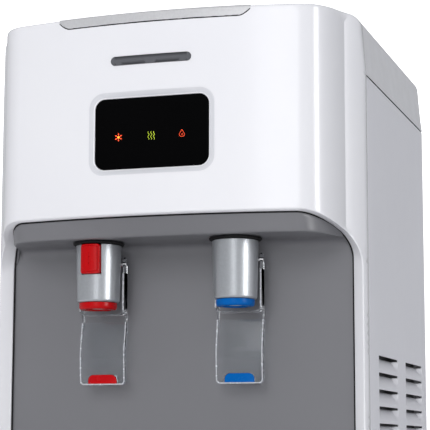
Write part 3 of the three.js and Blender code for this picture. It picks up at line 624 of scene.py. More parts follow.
# ---- casing -------------------------------------------------------------------------------
def top_edge():
    """The head's upper outline in front view, from the right side over the top to the left."""
    centre = np.array([HALF_WIDTH - SHOULDER_TAPER - SHOULDER_R, SHOULDER_Z - TOP_DROP])
    taper_z = np.linspace(SEAM_Z, SHOULDER_Z - TOP_DROP, 12)[:-1]
    lean = (taper_z - SEAM_Z) / (SHOULDER_Z - TOP_DROP - SEAM_Z)
    taper = np.column_stack([HALF_WIDTH - SHOULDER_TAPER * lean, taper_z])
    angles = np.linspace(0, math.pi / 2, 11)
    arc = centre + SHOULDER_R * np.column_stack([np.cos(angles), np.sin(angles)])
    flat_x = np.linspace(centre[0], 0, 40)[1:]
    flat = np.column_stack([flat_x, np.full(len(flat_x), HEIGHT - TOP_DROP)])
    right = np.concatenate([taper, arc, flat])
    left = right[-2::-1] * [-1, 1]
    return np.concatenate([right, left])


TOP = top_edge()


def toward(start, end, reach):
    """Points a fixed distance from start on the way to end."""
    way = end - start
    return start + way / np.linalg.norm(way, axis=1)[:, None] * reach


POCKET_GROW, POCKET_R = 5.4, 12.5
WINDOW_GROW, WINDOW_R = 0.3, 8.3


def display_rings():
    """The pocket's outline on the unrolled front, and the window's edge in front view."""
    middle, half = face_of("display_lens")

    def ring(grow, radius):
        return rounded_rect(middle, (half[0] + grow, half[1] + grow), radius, 14, 10, 24)

    pocket = ring(POCKET_GROW, POCKET_R)
    return np.column_stack([u_of(pocket[:, 0]), pocket[:, 1]]), ring(WINDOW_GROW, WINDOW_R)


LIP_ROUND, RIM_ROUND, CREST_ROUND, POCKET_ROUND, HEM_ROUND = 1.3, 0.9, 2.6, 0.8, 2.0
SKIN_STEP = 7.0


def skin_spare(low_z, loops):
    """Points inside the skin: a grid that follows the front's curve, and rings round its edges."""
    rows = np.arange(low_z + SKIN_STEP - 1, HEIGHT, SKIN_STEP)
    return [(u, z) for u in front_columns() for z in rows] + [tuple(p) for loop in loops for p in loop]


def front_shell():
    """Bowed skin, with the rim that sweeps into the alcove, the display's pocket, and a hem."""
    pocket, window = display_rings()
    top_flat = np.column_stack([u_of(TOP[:, 0]), TOP[:, 1]])
    top_in = offset(top_flat, -CREST_ROUND, closed=False)
    top_in[0] = [STRIP_U - CREST_ROUND, SEAM_Z]
    top_in[-1] = [CREST_ROUND - STRIP_U, SEAM_Z]
    low_z = FOOT + HEM_ROUND
    foot_u = np.linspace(-SIDE_U, SIDE_U, 90)
    sides = np.arange(low_z, SEAM_Z, 8)
    outer = np.concatenate([
        [(u, low_z) for u in foot_u],
        [(SIDE_U, z) for z in sides[1:]],
        [(SIDE_U, SEAM_Z), (STRIP_U, SEAM_Z)],
        top_in,
        [(-STRIP_U, SEAM_Z), (-SIDE_U, SEAM_Z)],
        [(-SIDE_U, z) for z in sides[:0:-1]],
    ])
    hole = offset(lip_flat, LIP_ROUND)
    dent = offset(pocket, POCKET_ROUND)
    rings = [offset(lip_flat, LIP_ROUND + 2.4), offset(pocket, 3.0), offset(top_in, -2.2, closed=False)]
    flat, faces = filled(outer, [hole, dent], skin_spare(low_z, rings))
    parts = [(on_front(flat), faces)]

    # the rim, from the skin back to the grey lining
    back = arch_points + [0, 0.8, 0]
    deep = arch_points + [0, 3.5, 0]
    on_deck = arch[:, 1] <= DECK_Z + 0.5
    deep[on_deck] = back[on_deck]
    rows = curve2(on_front(hole), lip_points, toward(lip_points, arch_points, RIM_ROUND), 5)
    rows += curve2(toward(arch_points, lip_points, RIM_ROUND), arch_points, back, 4)
    parts.append(grid_part(rows + [deep], closed=True))

    # over the top edge, back to the top cover
    edge = on_front(top_flat)
    rear = edge.copy()
    rear[:, 1] = SIDE_Y
    parts.append(grid_part(curve2(on_front(top_in), edge, edge + [0, 2.4, 0], 5) + [rear]))

    # the display's pocket
    ring = at_y(window, LENS_LOW.y)
    brim = on_front(pocket)
    rows = curve2(on_front(dent), brim, toward(brim, ring, POCKET_ROUND), 3)
    rows += curve2(toward(ring, brim, 0.5), ring, ring + [0, 0.5, 0], 3) + [ring + [0, 2.5, 0]]
    parts.append(grid_part(rows, closed=True))

    hem = np.array([(u, FOOT) for u in foot_u])
    above = hem + [0, HEM_ROUND]
    parts.append(grid_part(curve2(on_front(above), on_front(hem), on_front(hem, -HEM_ROUND), 4)))
    build("front_shell", parts, "white_shell", ["front_frame"], angle=38, solid=WALL)


TRAY_SET_BACK = 8  # the tray's front edge lies this far behind the front's face


def tray_plan(inset, steps=40):
    """The drip tray's outline in plan, drawn in by an inset, counter-clockwise."""
    half = radius_of("drip_tray") - inset
    x = np.linspace(-half, half, steps)
    front = np.column_stack([x, SIDE_Y - inset_t(x, TRAY_SET_BACK + inset)])
    back = SIDE_Y - 3 - inset
    return np.array([*front, (half, back), (-half, back)])


def deck():
    """The base's top round the drip tray, sweeping up into the pillars at its corners."""
    x = np.linspace(-ARCH_HALF + 0.4, ARCH_HALF - 0.4, 121)
    front = np.column_stack([x, SIDE_Y - arch_t(x)])
    outer = np.array([*front, *[(v, SIDE_Y - 0.2) for v in x[::-4]]])
    hole = tray_plan(6.5)
    spare = [(v, y) for v in x[::3] for y in np.arange(SIDE_Y - 66, SIDE_Y, 5.0)]
    flat, faces = filled(outer, [hole], spare, clear=1.0)
    points = at_z(flat, ARCH_TOP + DECK_Z - arch_z(flat[:, 0]))
    wall = grid_part([at_z(hole, DECK_Z), at_z(hole, DECK_Z - 2.4)], closed=True)
    build("base_deck", [(points, faces), wall], "white_shell", angle=40)


LINER_GAP, LINER_SET_BACK = 0.5, 1.6  # between the lining and the rim
FASCIA_INSET = 9.0
CHEEK_RUN = 24  # width over which the ceiling closes in on the cheeks
COVE_R = 9.0
FOLD_R = 1.6


def liner():
    """Grey plastic: a fascia drawn back under the head, the ceiling, a cove, and the wall."""
    half = ARCH_HALF - LINER_GAP
    edge = half - 0.5 * np.arange(0, 16) ** 1.35
    middle = np.linspace(edge[-1], -edge[-1], 91)[1:-1]
    x = np.concatenate([edge, middle, -edge[::-1]])
    top_z = arch_z(x) - LINER_GAP
    top_t = arch_t(x) - LINER_SET_BACK
    ceiling = np.minimum(CEILING_Z, top_z - 0.8)
    fade = np.clip((half + 0.2 - np.abs(x)) / CHEEK_RUN, 0, 1)
    closing = 0.6 + 55 * (3 * fade ** 2 - 2 * fade ** 3)
    inner_t = np.minimum(np.minimum(np.clip(inset_t(x, FASCIA_INSET), 0.6, None), closing), top_t)
    cove = np.minimum(COVE_R, inner_t * 0.85)

    def point(ahead, z):
        return np.column_stack([x, SIDE_Y - ahead, z])

    def fascia(f):
        return point(top_t + (inner_t - top_t) * f, top_z + (ceiling - top_z) * f)

    brow, fold = fascia(0.0), fascia(1.0)
    turn = np.minimum(FOLD_R, (top_z - ceiling) * 0.5)[:, None]
    before = fold + (brow - fold) / np.linalg.norm(brow - fold, axis=1)[:, None] * turn
    after_t = inner_t - np.minimum(FOLD_R, (inner_t - cove) * 0.5)
    rows = [brow + [0, 3.0, 0.3], brow + [0, 0.5, 0.1], brow - [0, 0, 0.4]]
    rows += [fascia(f) for f in (0.25, 0.5, 0.75)]
    rows += curve2(before, fold, point(after_t, ceiling), 5)
    rows += [point(after_t + (cove - after_t) * f, ceiling) for f in (0.25, 0.5, 0.75)]
    rows += curve2(point(cove, ceiling), point(0 * cove, ceiling), point(0 * cove, ceiling - cove), 7)
    low = ARCH_TOP + DECK_Z - arch_z(x) + 0.2
    wall_top = ceiling - cove
    rows += [point(0 * x, wall_top + (low - wall_top) * f) for f in np.linspace(0.06, 1, 24)]
    build("alcove_skin", [grid_part(rows)], "grey_liner", ["alcove_liner"], angle=50, solid=WALL)
    cheek("left", -1)
    cheek("right", 1)


def cheek(name, side):
    """The alcove's side wall, between the rim and the back wall."""
    outer = (arch[:, 0] * side > ARCH_HALF - 12) & (arch[:, 1] > DECK_Z + 60)
    edge = arch_points[outer] - [0.35 * side, 0, 0]
    edge = edge[np.argsort(edge[:, 2])]
    front, back = edge + [0, 1.0, 0], edge.copy()
    back[:, 1] = np.maximum(front[:, 1] + 0.5, SIDE_Y + 0.5)
    rows = [front, (front + back) / 2, back]
    build(f"alcove_cheek_{name}", [grid_part(rows)], "grey_liner", angle=50, solid=0.5)


def alcove_gap_shadow():
    """Black ribbon in the joint between the white rim and the grey lining: painted shadow of the gap
    there.
    """
    y = SIDE_Y - np.maximum(arch_ahead - 0.9, 0.25)
    outer, inner = offset(arch, -0.15), offset(arch, -1.15)
    rows = [at_y(outer, y + 0.5), at_y(outer, y), at_y(inner, y), at_y(inner, y + 0.5)]
    build("alcove_gap_shadow", [grid_part(rows, closed=True)], "rubber", angle=40)


REAR_ROUND = 10.0


def top_cover():
    """The white top: shoulders lofted back from the head, rounded over at the rear."""
    front_y = SIDE_Y + GAP
    turn = np.linspace(0, math.pi / 2, 9)[1:]
    straight = np.linspace(front_y, BACK_Y - REAR_ROUND, 24)
    share = (TOP[:, 1] - SEAM_Z) / (HEIGHT - SEAM_Z)

    def row(y, sink):
        x = TOP[:, 0] * (1 - 0.02 * sink / REAR_ROUND * share)
        return np.column_stack([x, np.full(len(TOP), y), TOP[:, 1] - sink * share])

    rows = [row(front_y, 0) - [0, 0, 1.2], *[row(y, 0) for y in straight]]
    rows += [
        row(straight[-1] + REAR_ROUND * math.sin(a), REAR_ROUND * (1 - math.cos(a))) for a in turn]
    points, faces = grid_part(rows)

    # the flat lid is filled apart from the shoulders, because it has the bottle seat's hole
    level = np.abs(TOP[:, 0]) <= HALF_WIDTH - SHOULDER_TAPER - SHOULDER_R + 0.01
    count = len(TOP)
    lid = {i for i in range(count - 1) if level[i] and level[i + 1]}
    faces = [f for f in faces if not (f[0] % count in lid and 1 <= f[0] // count < len(straight))]
    lid_x = TOP[level, 0]
    outer = np.array([
        *[(x, front_y) for x in lid_x[::-1]], *[(lid_x[0], y) for y in straight[1:]],
        *[(x, straight[-1]) for x in lid_x[1:]], *[(lid_x[-1], y) for y in straight[-2:0:-1]],
    ])
    spare = [(x, y) for x in lid_x[::4] for y in straight]
    lid_flat, lid_faces = filled(outer, [circle(SEAT_R - 3, 0, SEAT_Y)], spare, clear=2)
    end = rows[-1]
    foot = end.copy()
    foot[:, 2] = SEAM_Z + GAP
    rear = grid_part([end, (end + foot) / 2, foot])
    lid_part = (at_z(lid_flat, HEIGHT - TOP_DROP), lid_faces)
    build("top_cover_shell", [(points, faces), lid_part, rear], "white_shell", ["top_cover"], angle=32)


# ---- side panels --------------------------------------------------------------------------
LOUVRE_TOP_Z, LOUVRE_PITCH, LOUVRE_ROWS = 235.6, 13.3, 11
LOUVRE_SPANS = ((-61.0, 15.5), (49.0, 124.4))
LOUVRE_SLIT, LOUVRE_DEPTH, LOUVRE_FLUSH = 1.7, 5.5, 11.2
LOUVRE_START, LOUVRE_END = 1.2, 3.2  # lengths of the sloped end walls
LOUVRE_TOPS = [LOUVRE_TOP_Z - row * LOUVRE_PITCH for row in range(LOUVRE_ROWS)]
LOUVRE_DROPS = (11.7, LOUVRE_FLUSH, 10.2, 8.8, 7.2, 5.6, 4.0, 2.6, LOUVRE_SLIT, 0.0, -0.8)
HEM = (  # (in from the edge, depth)
    (0.0, 7.0), (0.0, 1.5), (0.14, 0.85), (0.5, 0.4), (0.95, 0.12), (1.7, 0.0))


def louvre_sink(z):
    """How deep the louvres are pressed in at a height."""
    for top in LOUVRE_TOPS:
        drop = top - z
        if LOUVRE_SLIT - 0.01 <= drop <= LOUVRE_FLUSH:
            share = 1 - (drop - LOUVRE_SLIT) / (LOUVRE_FLUSH - LOUVRE_SLIT)
            return LOUVRE_DEPTH * share ** 1.15
    return 0.0


def louvre_share(y):
    """How much of a louvre's full depth there is at a place along it."""
    for start, end in LOUVRE_SPANS:
        if start < y < end:
            return min(1.0, (y - start) / LOUVRE_START, (end - y) / LOUVRE_END)
    return 0.0


def side_panel(name, side):
    """Painted sheet with a rolled hem and two columns of pressed louvres."""
    low, high = span(f"{name}_side_panel")
    ys = [(low.y + inset, depth) for inset, depth in HEM]
    for start, end in LOUVRE_SPANS:
        ys += [(start - 1.5, 0), (start, 0), (start + LOUVRE_START, 0), (start + LOUVRE_START + 1.5, 0)]
        ys += [(y, 0) for y in np.linspace(start + 14, end - 14, 4)]
        ys += [(end - LOUVRE_END - 1.5, 0), (end - LOUVRE_END, 0), (end, 0), (end + 1.5, 0)]
    ys += [(high.y - inset, depth) for inset, depth in HEM[:0:-1]]
    zs = [(low.z + inset, depth) for inset, depth in HEM]
    for top in LOUVRE_TOPS[::-1]:
        zs += [(top - drop, 0) for drop in LOUVRE_DROPS]
    zs += [(z, 0) for z in np.linspace(LOUVRE_TOP_Z + 20, high.z - 20, 6)]
    zs += [(high.z - inset, depth) for inset, depth in HEM[:0:-1]]
    zs += [(high.z, HEM[0][1])]

    rows = []
    for z, z_depth in zs:
        depths = [max(z_depth, y_depth, louvre_sink(z) * louvre_share(y)) for y, y_depth in ys]
        rows.append([(side * (HALF_WIDTH - depth), y, z) for depth, (y, _) in zip(depths, ys)])
    points, faces = grid_part(rows)
    kept = []
    for face in faces:
        r, c = divmod(face[0], len(ys))
        slit = any(abs(zs[r + 1][0] - top) < 0.01 for top in LOUVRE_TOPS)
        if not (slit and louvre_share((ys[c][0] + ys[c + 1][0]) / 2) > 0):
            kept.append(face)
    build(
        f"{name}_panel_sheet", [(points, kept)], "side_panel", [f"{name}_side_panel"], angle=34,
        solid=1.0)


SHADE_SHEET_DEPTH, RIPPLE = 8.5, 0.3


def louvre_shade_sheets():
    """Dark rippled sheets hung behind the louvres: painted shade that makes the slits read black and
    keeps the works from showing through them.
    """
    bottom = LOUVRE_TOP_Z - LOUVRE_ROWS * LOUVRE_PITCH - 4
    ys = np.linspace(LOUVRE_SPANS[0][0] - 8, LOUVRE_SPANS[1][1] + 6, 30)
    for name, side in (("left", -1), ("right", 1)):
        rows = []
        for z in np.linspace(bottom, LOUVRE_TOP_Z + 10, 24):
            x = side * (HALF_WIDTH - SHADE_SHEET_DEPTH) + RIPPLE * math.sin(z * 0.4)
            rows.append([(x, y, z) for y in ys])
        build(f"louvre_shade_sheet_{name}", [grid_part(rows)], "black_plastic", solid=0.6)


# ---- trim, window and badge ---------------------------------------------------------------
TONGUE_HALF, TONGUE_FOOT, TONGUE_Z, TONGUE_CURL = 79.0, 70.0, 491.3, 5.2
TRIM_R, TRIM_ROUND, TRIM_DEPTH, TRIM_PROUD = 104.0, 1.2, 2.6, 0.35


def trim_ring():
    """The plate's outline behind its tongue: both sides of the neck and the ring round the seat."""
    neck_y = SEAT_Y - math.sqrt(TRIM_R ** 2 - TONGUE_HALF ** 2)
    start = math.atan2(neck_y - SEAT_Y, TONGUE_HALF)
    turns = np.linspace(start, math.pi - start, 90)
    return neck_y, np.column_stack([TRIM_R * np.cos(turns), SEAT_Y + TRIM_R * np.sin(turns)])


def top_trim():
    """Silver plate round the bottle seat, with a tongue that folds down over the front, and a black
    strip of painted shadow along the tongue's foot.
    """
    x = np.linspace(-TONGUE_HALF, TONGUE_HALF, 61)
    u = u_of(x)
    over = np.maximum(np.abs(x) - TONGUE_FOOT, 0) / (TONGUE_HALF - TONGUE_FOOT)
    foot_z = TONGUE_Z + TONGUE_CURL * over ** 1.7

    def face(z, proud=TRIM_PROUD):
        return on_front(np.column_stack([u, np.broadcast_to(z, len(u))]), proud)

    rise_to = HEIGHT - 2.2
    brow = face(HEIGHT)
    front_rows = curve2(face(foot_z + 0.3, -1.2), face(foot_z), face(foot_z + 1.0), 3)
    front_rows += [face(foot_z + (rise_to - foot_z) * f) for f in (0.35, 0.7)]
    front_rows += curve2(face(rise_to), brow, brow + [0, 2.2, 0], 5)
    left, right = front_rows[-1][0, :2], front_rows[-1][-1, :2]

    neck_y, ring = trim_ring()
    neck = np.linspace(right[1], neck_y, 12)[1:-1]
    full = np.array([
        right, *[(TONGUE_HALF, y) for y in neck],
        *ring, *[(-TONGUE_HALF, y) for y in neck[::-1]], left])
    drawn = offset(full, -TRIM_ROUND, closed=False)
    drawn[0] = [TONGUE_HALF - TRIM_ROUND, right[1]]
    drawn[-1] = [TRIM_ROUND - TONGUE_HALF, left[1]]
    within = np.abs(x) < TONGUE_HALF - TRIM_ROUND - 0.5
    hole = circle(SEAT_R + 0.7, 0, SEAT_Y)
    spare = [(a, b) for a in np.arange(-96, 97, 8.0) for b in np.arange(-150, 130, 8.0)]
    flat, faces = filled(np.array([*front_rows[-1][within, :2], *drawn]), [hole], spare, clear=2)
    rim = curve2(at_z(drawn, HEIGHT), at_z(full, HEIGHT), at_z(full, HEIGHT - TRIM_ROUND), 3)
    rim.append(at_z(full, HEIGHT - TRIM_DEPTH))
    bore = circle(SEAT_R + 0.4, 0, SEAT_Y)
    inner = [at_z(hole, HEIGHT), at_z(bore, HEIGHT - 0.4), at_z(bore, HEIGHT - TRIM_DEPTH)]
    parts = [(at_z(flat, HEIGHT), faces), grid_part(front_rows), grid_part(rim)]
    parts.append(grid_part(inner, closed=True))
    build("top_trim_plate", parts, "silver_trim", ["top_trim"], angle=40, weld=0.6)
    # a thin black strip along the tongue's foot: painted shadow of the joint between the trim and the
    # head
    sink = [0, TRIM_PROUD - 0.04, 0]
    shadow_rows = [face(foot_z - 0.35) + sink, face(foot_z + 0.6) + sink]
    build("trim_shadow_line", [grid_part(shadow_rows)], "rubber", solid=0.3)


def extruded(outline, front, back, edge=0.6, steps=3):
    """A plate with a rounded front edge; the outline is counter-clockwise in (x, z)."""
    outline = np.asarray(outline, float)
    drawn = offset(outline, -edge)
    rows = curve2(at_y(drawn, front), at_y(outline, front), at_y(outline, front + edge), steps)
    rows.append(at_y(outline, back))
    return [grid_part(rows, closed=True), cap_part(at_y(drawn, front)), cap_part(at_y(outline, back))]


BEZEL = ((0.10, 0), (0.16, 1), (0.4, 1), (0.62, 1), (0.74, 1), (0.80, 0))  # (share of slope, raised)


def shade_bezel():
    """Satin ring, a greyer copy of the white shell, pressed on to the sloping sides of the display's
    pocket: painted shade on the slopes.
    """
    pocket, window = display_rings()
    brim = on_front(pocket)
    ring = at_y(window, LENS_LOW.y)
    proud = np.array([0, -0.16, 0])
    rows = [brim + (ring - brim) * share + proud * raised for share, raised in BEZEL]
    ring = grid_part(rows, closed=True)
    build("display_shade_ring", [ring], "white_shell", material=FINISH["shade_bezel"], angle=40)


def display():
    """The black window, the grey ring of painted shade round it, and the lamps on it."""
    outline = rounded_rect(*face_of("display_lens"), 8, 14, 12, 24)
    plate = extruded(outline, LENS_LOW.y, LENS_HIGH.y, 0.5)
    build("display_window", plate, "black_lens", ["display_lens"], angle=35)
    shade_bezel()
    lamps()


CROWN = ((-1, 0), (-0.8, 0.07), (0, 0.1), (0.8, 0.07), (1, 0))  # (share of the width, lift)


def ribbon(path, width, y):
    """A stroke of even width along a path in (x, z), with a slightly rounded crown."""
    path = np.asarray(path, float)
    along = np.gradient(path, axis=0)
    along /= np.linalg.norm(along, axis=1)[:, None]
    across = np.column_stack([along[:, 1], -along[:, 0]])
    return grid_part([at_y(path + across * share * width / 2, y - lift) for share, lift in CROWN])


LAMP_Z = 401.5
LAMP_X = {"cooling": -27.0, "power": 0.0, "heating": 25.0}


def lamps():
    """Three small symbols that glow through the window: a snow star, warm waves, a flame."""
    face = LENS_LOW.y - 0.02
    red = glow("lamp_red", (0.9, 0.075, 0.02), 1.1)
    amber = glow("lamp_amber", (0.95, 0.42, 0.03), 1.0)
    green = glow("lamp_green", (0.42, 0.55, 0.03), 1.35)

    def at(name, points):
        return np.asarray(points) + [LAMP_X[name], LAMP_Z]

    def lamp(name, strokes, material):
        build(f"lamp_{name}", strokes, None, material=material, weld=0.001)

    arms = []
    for angle in math.pi / 2 + math.pi / 3 * np.arange(6):
        out = np.array([math.cos(angle), math.sin(angle)])
        arms.append(ribbon(at("cooling", [out * r for r in (0.8, 1.6, 2.4, 3.3)]), 0.34, face))
        for turn in (-0.5, 0.5):
            tip = np.array([math.cos(angle + turn), math.sin(angle + turn)])
            arms.append(ribbon(at("cooling", [out * 1.7 + tip * s for s in (0, 0.5, 1.0)]), 0.3, face))
    lamp("cooling", arms, red)
    core = [(-0.8, 0), (-0.3, 0), (0.3, 0), (0.8, 0)]
    lamp("cooling_core", [ribbon(at("cooling", core), 1.5, face - 0.06)], amber)
    z = np.linspace(-3.2, 3.2, 25)
    wave = np.column_stack([0.55 * np.sin(z * 1.9), z])
    waves = [ribbon(at("power", wave + [shift, 0]), 0.24, face) for shift in (-2.2, 0, 2.2)]
    lamp("power", waves, green)
    angle = np.linspace(0, 2 * math.pi, 37)
    drop = np.column_stack([2.7 * np.sin(angle) * np.abs(np.sin(angle / 2)), 2.7 * np.cos(angle)])
    drop[:, 1] += 0.5 * np.cos(angle) ** 2
    inner = 1.1 * np.array([(-0.5, -1.2), (-0.2, -0.3), (0.3, 0.4), (0.6, -0.5), (0.45, -1.2)])
    flame = [ribbon(at("heating", drop), 0.26, face), ribbon(at("heating", inner), 0.2, face)]
    lamp("heating", flame, red)


BADGE_PROUD, BADGE_ROUND = 0.9, 0.45


def badge():
    """Blank pill on the head, following its bow."""
    middle, half = face_of("badge")
    outline = rounded_rect(middle, half, half[1], 2, 12, 24)
    drawn = offset(outline, -BADGE_ROUND)

    def raised(loop, proud):
        return on_front(np.column_stack([u_of(loop[:, 0]), loop[:, 1]]), proud)

    rows = [raised(outline, 0.05)]
    rows += curve2(
        raised(outline, BADGE_ROUND), raised(outline, BADGE_PROUD), raised(drawn, BADGE_PROUD), 3)
    spare = [(x, middle[1]) for x in np.arange(-30, 31, 5.0)]
    face, faces = filled(drawn, [], spare, clear=0.8)
    parts = [grid_part(rows, closed=True), (raised(face, BADGE_PROUD), faces)]
    build("badge_pill", parts, "badge_grey", ["badge"], angle=50)


# ---- taps ---------------------------------------------------------------------------------
def carve(piece, parts, operation="DIFFERENCE", angle=30):
    """Cuts away, or joins on, another closed shape, and keeps only the finished mesh."""
    tool = add_object("tool", mesh_from("tool", parts, 0.001))
    cut = piece.modifiers.new("cut", "BOOLEAN")
    cut.operation = operation
    cut.solver = "EXACT"
    cut.object = tool
    bpy.context.view_layer.update()
    graph = bpy.context.evaluated_depsgraph_get()
    made = bpy.data.meshes.new_from_object(piece.evaluated_get(graph))
    piece.modifiers.clear()
    old = piece.data
    piece.data = made
    bpy.data.meshes.remove(old)
    made.name = piece.name
    shade(made, angle)
    bpy.data.objects.remove(tool)


def box_part(low, high):
    """Box between two corners."""
    (x0, y0, z0), (x1, y1, z1) = low, high
    points = [(x, y, z) for z in (z0, z1) for x, y in ((x0, y0), (x1, y0), (x1, y1), (x0, y1))]
    faces = [(0, 3, 2, 1), (4, 5, 6, 7), (0, 1, 5, 4), (1, 2, 6, 5), (2, 3, 7, 6), (3, 0, 4, 7)]
    return points, faces


PADDLE_HALF, PADDLE_THICK = 19.0, 1.9
PADDLE_FACE = ((14.3, 270.0), (9.3, 237.5), (11.0, 212.3))  # (behind the tap's axis, height)
YOKE_Z, YOKE_TOP, YOKE_WALL = 267.2, 301.0, 1.3
YOKE_BEHIND, YOKE_BACK = 7.2, 14.8
ARM_OUT, ARM_IN = PADDLE_HALF - 0.1, PADDLE_HALF - 1.4
ARM_BACK = 14.4


def paddle_path(z):
    """How far behind the tap's axis the paddle's front face is at a height."""
    heights = [p[1] for p in PADDLE_FACE[::-1]]
    depths = [p[0] for p in PADDLE_FACE[::-1]]
    soft = np.linspace(-4, 4, 9)
    return np.mean([np.interp(np.asarray(z) + s, heights, depths) for s in soft], axis=0)


def on_paddle(flat, behind):
    """A front view (x, z) put a little behind the paddle's front face."""
    return at_y(flat, TAP_Y + paddle_path(flat[:, 1]) + behind)


def paddle_outline(inset, x):
    """The paddle's U outline in (x, z): down the left edge, round the bottom, up the right."""
    bottom = PADDLE_FACE[-1][1] + inset
    half = PADDLE_HALF - inset
    radius = max(3.4 - inset, 0.8)
    spans = ((262, 242, 8), (240, 234, 7), (231, bottom + radius, 8))
    left = [(-half, z) for start, end, count in spans for z in np.linspace(start, end, count)]
    turn = np.linspace(math.pi, 1.5 * math.pi, 8)[1:]
    corner = np.column_stack([np.cos(turn), np.sin(turn)]) * radius + [radius - half, bottom + radius]
    middle = [(v, bottom) for v in np.linspace(radius - half, 0, 10)[1:]]
    half_loop = np.array([*left, *corner, *middle])
    return np.concatenate([half_loop, half_loop[-2::-1] * [-1, 1]]) + [x, 0]


def paddle_parts(x):
    """The bent clear plate that a cup pushes back."""
    loop = paddle_outline(0.0, x)
    half = len(loop) // 2 + 1
    left, right = loop[:half], loop[::-1][:half]
    web = [left + (right - left) * share for share in np.linspace(0, 1, 9)]
    top = np.array([row[0] for row in web])
    parts = [grid_part([on_paddle(row, depth) for row in web]) for depth in (0.0, PADDLE_THICK)]
    return parts + [grid_part([on_paddle(e, 0.0), on_paddle(e, PADDLE_THICK)]) for e in (loop, top)]


def yoke_parts(x):
    """The U that hangs round the nozzle."""
    u_shape = soften(
        [(-ARM_OUT, YOKE_TOP), (-ARM_OUT, YOKE_Z), (ARM_OUT, YOKE_Z), (ARM_OUT, YOKE_TOP),
         (ARM_IN, YOKE_TOP), (ARM_IN, YOKE_Z + YOKE_WALL), (-ARM_IN, YOKE_Z + YOKE_WALL),
         (-ARM_IN, YOKE_TOP)],
        [0.4, 5.0, 5.0, 0.4, 0.4, 3.8, 3.8, 0.4], 6)
    return extruded(u_shape + [x, 0], TAP_Y + YOKE_BEHIND, TAP_Y + YOKE_BACK, 0.25)


def arm_parts(x, side):
    """One of the two arms that go up from the yoke to the pivot pin."""
    back, front = TAP_Y + ARM_BACK, TAP_Y + YOKE_BEHIND
    side_view = soften(
        [(front, 296), (back, 256), (back + 1.6, 256), (back, 312), (front + 2, 314)], 3, 5)
    return capped([at_x(side_view, x + side * ARM_IN), at_x(side_view, x + side * ARM_OUT)])


def lever(name, x, finish):
    """Clear paddle hung on a yoke round the nozzle, with two arms up to the pivot pin."""
    body = f"{name}_lever"
    piece = build(f"{name}_lever_paddle", paddle_parts(x), "clear_lever", [body], body, angle=35)
    for tool in (yoke_parts(x), arm_parts(x, -1), arm_parts(x, 1)):
        carve(piece, tool, "UNION", 35)
    carve(piece, extruded(marker_outline(0.25, x), TAP_Y - 10, TAP_Y + 40, 0.01), "DIFFERENCE", 35)
    lever_edge_highlights(name, x)
    marker(name, x, finish)


RIM_SECTION = ((0.0, -0.35), (1.0, -0.35), (1.0, 0.5), (0.0, 3.4), (0.0, -0.35))  # (inset, behind)


def lever_edge_highlights(name, x):
    """Painted highlight on the clear plastic's edges: a fine rim of whiter, frosted plastic round the
    paddle, and strips on the arms.
    """
    parts = [grid_part([on_paddle(paddle_outline(inset, x), behind) for inset, behind in RIM_SECTION])]
    for side in (-1, 1):
        middle = (x + side * (PADDLE_HALF - 0.75), (YOKE_Z + YOKE_TOP) / 2 + 1.5)
        strip = rounded_rect(middle, (0.6, (YOKE_TOP - YOKE_Z) / 2 - 2), 0.5, 6, 3)
        parts += extruded(strip, TAP_Y + YOKE_BEHIND - 0.4, TAP_Y + YOKE_BEHIND, 0.1)
    build(f"{name}_lever_edge_highlights", parts, "clear_lever", body=f"{name}_lever", material=EDGE_HIGHLIGHT, angle=40)


def marker_outline(grow, x):
    """Outline of the coloured insert: square at its foot, with its top corners cut off."""
    low, high = span("hot_lever_marker")
    half = (high.x - low.x) / 2 + grow
    bottom, top = low.z - grow, high.z + grow
    outline = [
        (-half, bottom), (half, bottom), (half, top - 2.8), (half - 2.9, top), (2.9 - half, top),
        (-half, top - 2.8)]
    return soften(outline, [0.3, 0.3, 2.2, 2.2, 2.2, 2.2], 5) + [x, 0]


def marker(name, x, finish):
    """Coloured insert that snaps into the foot of the paddle."""
    outline = marker_outline(0.0, x)
    drawn = offset(outline, -0.45)
    rows = curve2(on_paddle(drawn, -0.55), on_paddle(outline, -0.55), on_paddle(outline, 0.1), 3)
    rows += [on_paddle(outline, 2.1), on_paddle(drawn, 2.3)]
    build(
        f"{name}_marker_insert", capped(rows), finish, [f"{name}_lever_marker"], f"{name}_lever",
        angle=40)


BUTTON_BOW = 21.0
BUTTON_GAP = 0.4


def lock_button():
    """Red child-lock button: a body with a raised pad, curved to follow the sleeve."""
    low, high = span("hot_lock_button")
    middle, half = face_of("hot_lock_button")

    def ring(inset, depth):
        loop = rounded_rect(middle, (half[0] - inset, half[1] - inset), max(2.2 - inset, 0.9), 8, 5, 8)
        bow = BUTTON_BOW - np.sqrt(BUTTON_BOW ** 2 - (loop[:, 0] - middle[0]) ** 2)
        return at_y(loop, low.y + bow + depth)

    rows = [ring(0, high.y - low.y - 1.6), ring(0, 1.6)]
    rows += curve2(ring(0, 1.6), ring(0, 0.9), ring(0.7, 0.9), 3)[1:]
    rows += [ring(1.5, 0.9)] + curve2(ring(1.6, 0.6), ring(1.65, 0.0), ring(2.3, 0.0), 3)
    rows += [ring(inset, 0.0) for inset in (3.2, 4.5, 6.0, 7.2)]
    build(
        "lock_button_cap", capped(rows), "red_plastic", ["hot_lock_button"], "hot_lock_button",
        angle=35)


SLEEVE_TAPER = 1.1
SLEEVE_BORE, RING_BORE, SEAL_BORE = 12.0, 9.2, 8.6


